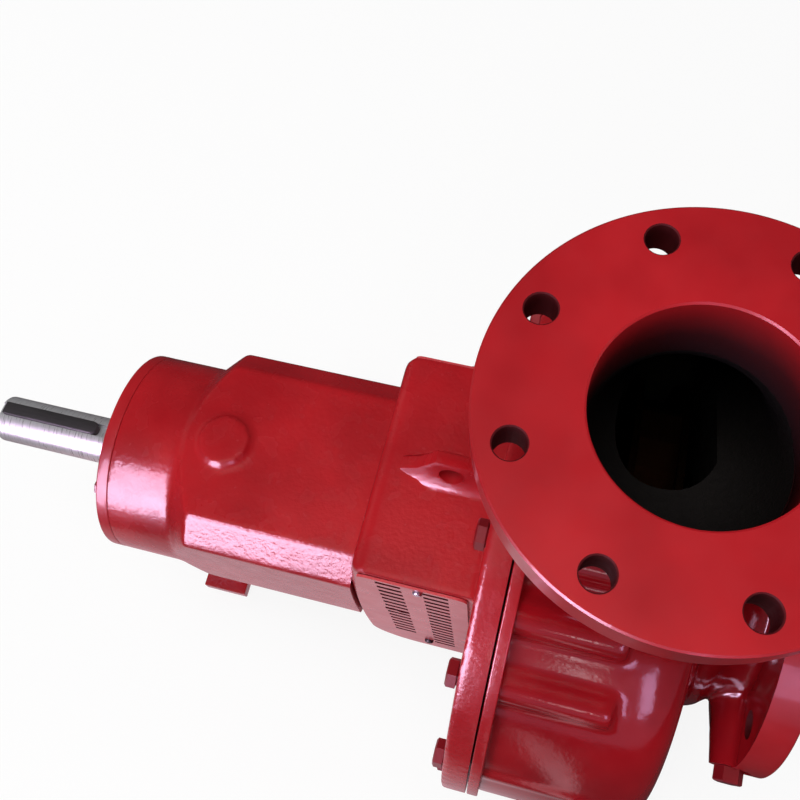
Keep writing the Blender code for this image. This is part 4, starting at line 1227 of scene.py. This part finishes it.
# %% Floor
FLOOR_SHADE = (0.82, 0.82, 0.82)
FLOOR_LIGHT = (0.86, 0.86, 0.86)
FLOOR_IN_BOUNCES = (0.26, 0.24, 0.25, 1)
FLOOR_IN_PAINT = (0.05, 0.04, 0.045, 1)
FLOOR_GLOW = 0.86
GLOW_IN_PAINT = (1.0, 0.66, 0.74, 1)
PATCH_PLACE = (-0.16, -0.30, 0.0)
PATCH_GLOW = 0.74
STRIP_PLACE = (0.243, -1.90, 0.0)
STRIP_HALF_SIZES = (0.042, 1.50, 1.0)
WHITE = (1, 1, 1, 1)


def mix_colours(tree, share, first, second):
    return add(tree, "ShaderNodeMixRGB", {"Fac": share, "Color1": first, "Color2": second})


def mix_shaders(tree, share, first, second):
    return add(tree, "ShaderNodeMixShader", {"Fac": share, 1: first, 2: second})


def glowing_share(tree, place):
    """How bright the floor is in reflections: the patch and the strip, and nothing round them."""
    away = add(tree, "ShaderNodeVectorMath", {0: place, 1: PATCH_PLACE}, "Value", operation="DISTANCE")
    patch = remap(tree, away, 0.26, 0.46, PATCH_GLOW, 0.0)
    squeezed = add(tree, "ShaderNodeMapping", {
        "Vector": place, "Location": STRIP_PLACE, "Scale": STRIP_HALF_SIZES}, vector_type="TEXTURE")
    off_strip = add(tree, "ShaderNodeVectorMath", {0: squeezed}, "Value", operation="LENGTH")
    return calc(tree, "MAXIMUM", patch, remap(tree, off_strip, 0.85, 1.0, 1.0, 0.0))


def make_floor():
    floor = block("floor", (-6, -6, -0.02), (6, 6, -0.0005))
    material, tree, shader, place = new_material("pale_floor")
    rays = add(tree, "ShaderNodeLightPath").node.outputs
    seen = rays["Is Camera Ray"]
    mirrored = rays["Is Glossy Ray"]
    tint = ramp(tree, noise(tree, place, 3.0), (0.0, FLOOR_SHADE), (1.0, FLOOR_LIGHT))
    unseen = mix_colours(tree, mirrored, FLOOR_IN_BOUNCES, FLOOR_IN_PAINT)
    put(shader, {
        "Base Color": mix_colours(tree, seen, unseen, tint),
        "Roughness": 0.9,
        "Specular IOR Level": 0.0})
    glow = add(tree, "ShaderNodeEmission", {"Color": mix_colours(tree, seen, GLOW_IN_PAINT, WHITE)})
    in_paint = calc(tree, "MULTIPLY", mirrored, glowing_share(tree, place))
    share = calc(tree, "MULTIPLY_ADD", seen, FLOOR_GLOW, in_paint)
    surface = mix_shaders(tree, share, shader.outputs["BSDF"], glow)
    put(tree.nodes["Material Output"], {"Surface": surface})
    dip(floor, material)
    return floor


make_floor()
print("floor ready")

# %% World and lamps
SKY_FAR = (0.060, 0.045, 0.045)
SKY_BETWEEN = (0.13, 0.10, 0.13)
SKY_NEAR = (0.36, 0.27, 0.38)
TOWARDS_WINDOWS = (0.0, -1.0, -0.35)


def make_world():
    """White to the camera, an even soft light, and a sky that is dim in reflections."""
    world = bpy.data.worlds.new("studio")
    bpy.context.scene.world = world
    world.use_nodes = True
    tree = world.node_tree
    rays = add(tree, "ShaderNodeLightPath").node.outputs
    soft = put(tree.nodes["Background"], {"Color": (1.0, 0.98, 0.97, 1), "Strength": 0.28})
    look = add(tree, "ShaderNodeTexCoord", output="Generated")
    side = add(tree, "ShaderNodeVectorMath", {0: look, 1: TOWARDS_WINDOWS}, "Value", operation="DOT_PRODUCT")
    graded = ramp(tree, side, (0.0, SKY_FAR), (0.35, SKY_BETWEEN), (0.95, SKY_NEAR))
    sky = add(tree, "ShaderNodeBackground", {"Color": graded})
    white = add(tree, "ShaderNodeBackground", {"Color": WHITE})
    lit = mix_shaders(tree, rays["Is Glossy Ray"], soft.outputs["Background"], sky)
    clear = calc(tree, "MAXIMUM", rays["Is Camera Ray"], rays["Is Transmission Ray"])
    put(tree.nodes["World Output"], {"Surface": mix_shaders(tree, clear, lit, white)})


def make_lamp(name, place, target, size, power, colour=None):
    """An area lamp. One with a colour only shines in the paint; the others only light."""
    lamp = bpy.data.objects.new(name, bpy.data.lights.new(name, "AREA"))
    lamp.data.shape = "RECTANGLE"
    lamp.data.size = size[0]
    lamp.data.size_y = size[1]
    lamp.data.energy = power
    lamp.data.color = colour or (1, 1, 1)
    lamp.visible_glossy = bool(colour)
    lamp.visible_diffuse = not colour
    lamp.location = place
    lamp.rotation_euler = (Vector(target) - Vector(place)).to_track_quat("-Z", "Y").to_euler()
    bpy.context.scene.collection.objects.link(lamp)
    return lamp


make_world()
LAMPS = [
    make_lamp("left_window", (-1.35, -2.3, 1.50), (-0.1, 0, 0.35), (0.8, 2.8), 117, (0.94, 0.68, 1.0)),
    make_lamp("near_window", (-0.60, -2.3, 1.05), (0.0, 0, 0.35), (0.7, 0.8), 32, (0.94, 0.70, 1.0)),
    make_lamp("right_window", (1.0, -2.3, 1.50), (0.2, 0, 0.35), (0.5, 1.0), 7, (0.88, 0.58, 1.0)),
    make_lamp("glint", (0.354, -2.27, 1.51), (0.19, -0.11, 0.43), (0.06, 0.42), 0.55, (1.0, 0.80, 0.84)),
    make_lamp("roof_light", (-0.2, -0.35, 3.0), (0.0, 0, 0.3), (1.4, 1.4), 52),
    make_lamp("near_fill", (-1.1, -2.1, 1.1), (-0.1, 0, 0.3), (1.0, 1.0), 19),
    make_lamp("left_fill", (-2.4, 0.8, 1.2), (0.0, 0, 0.3), (1.2, 1.2), 14),
    make_lamp("right_fill", (2.4, 0.4, 1.4), (0.2, 0, 0.3), (1.2, 1.2), 13)]
bpy.context.scene.view_settings.view_transform = "Standard"
print("world and", len(LAMPS), "lamps ready")
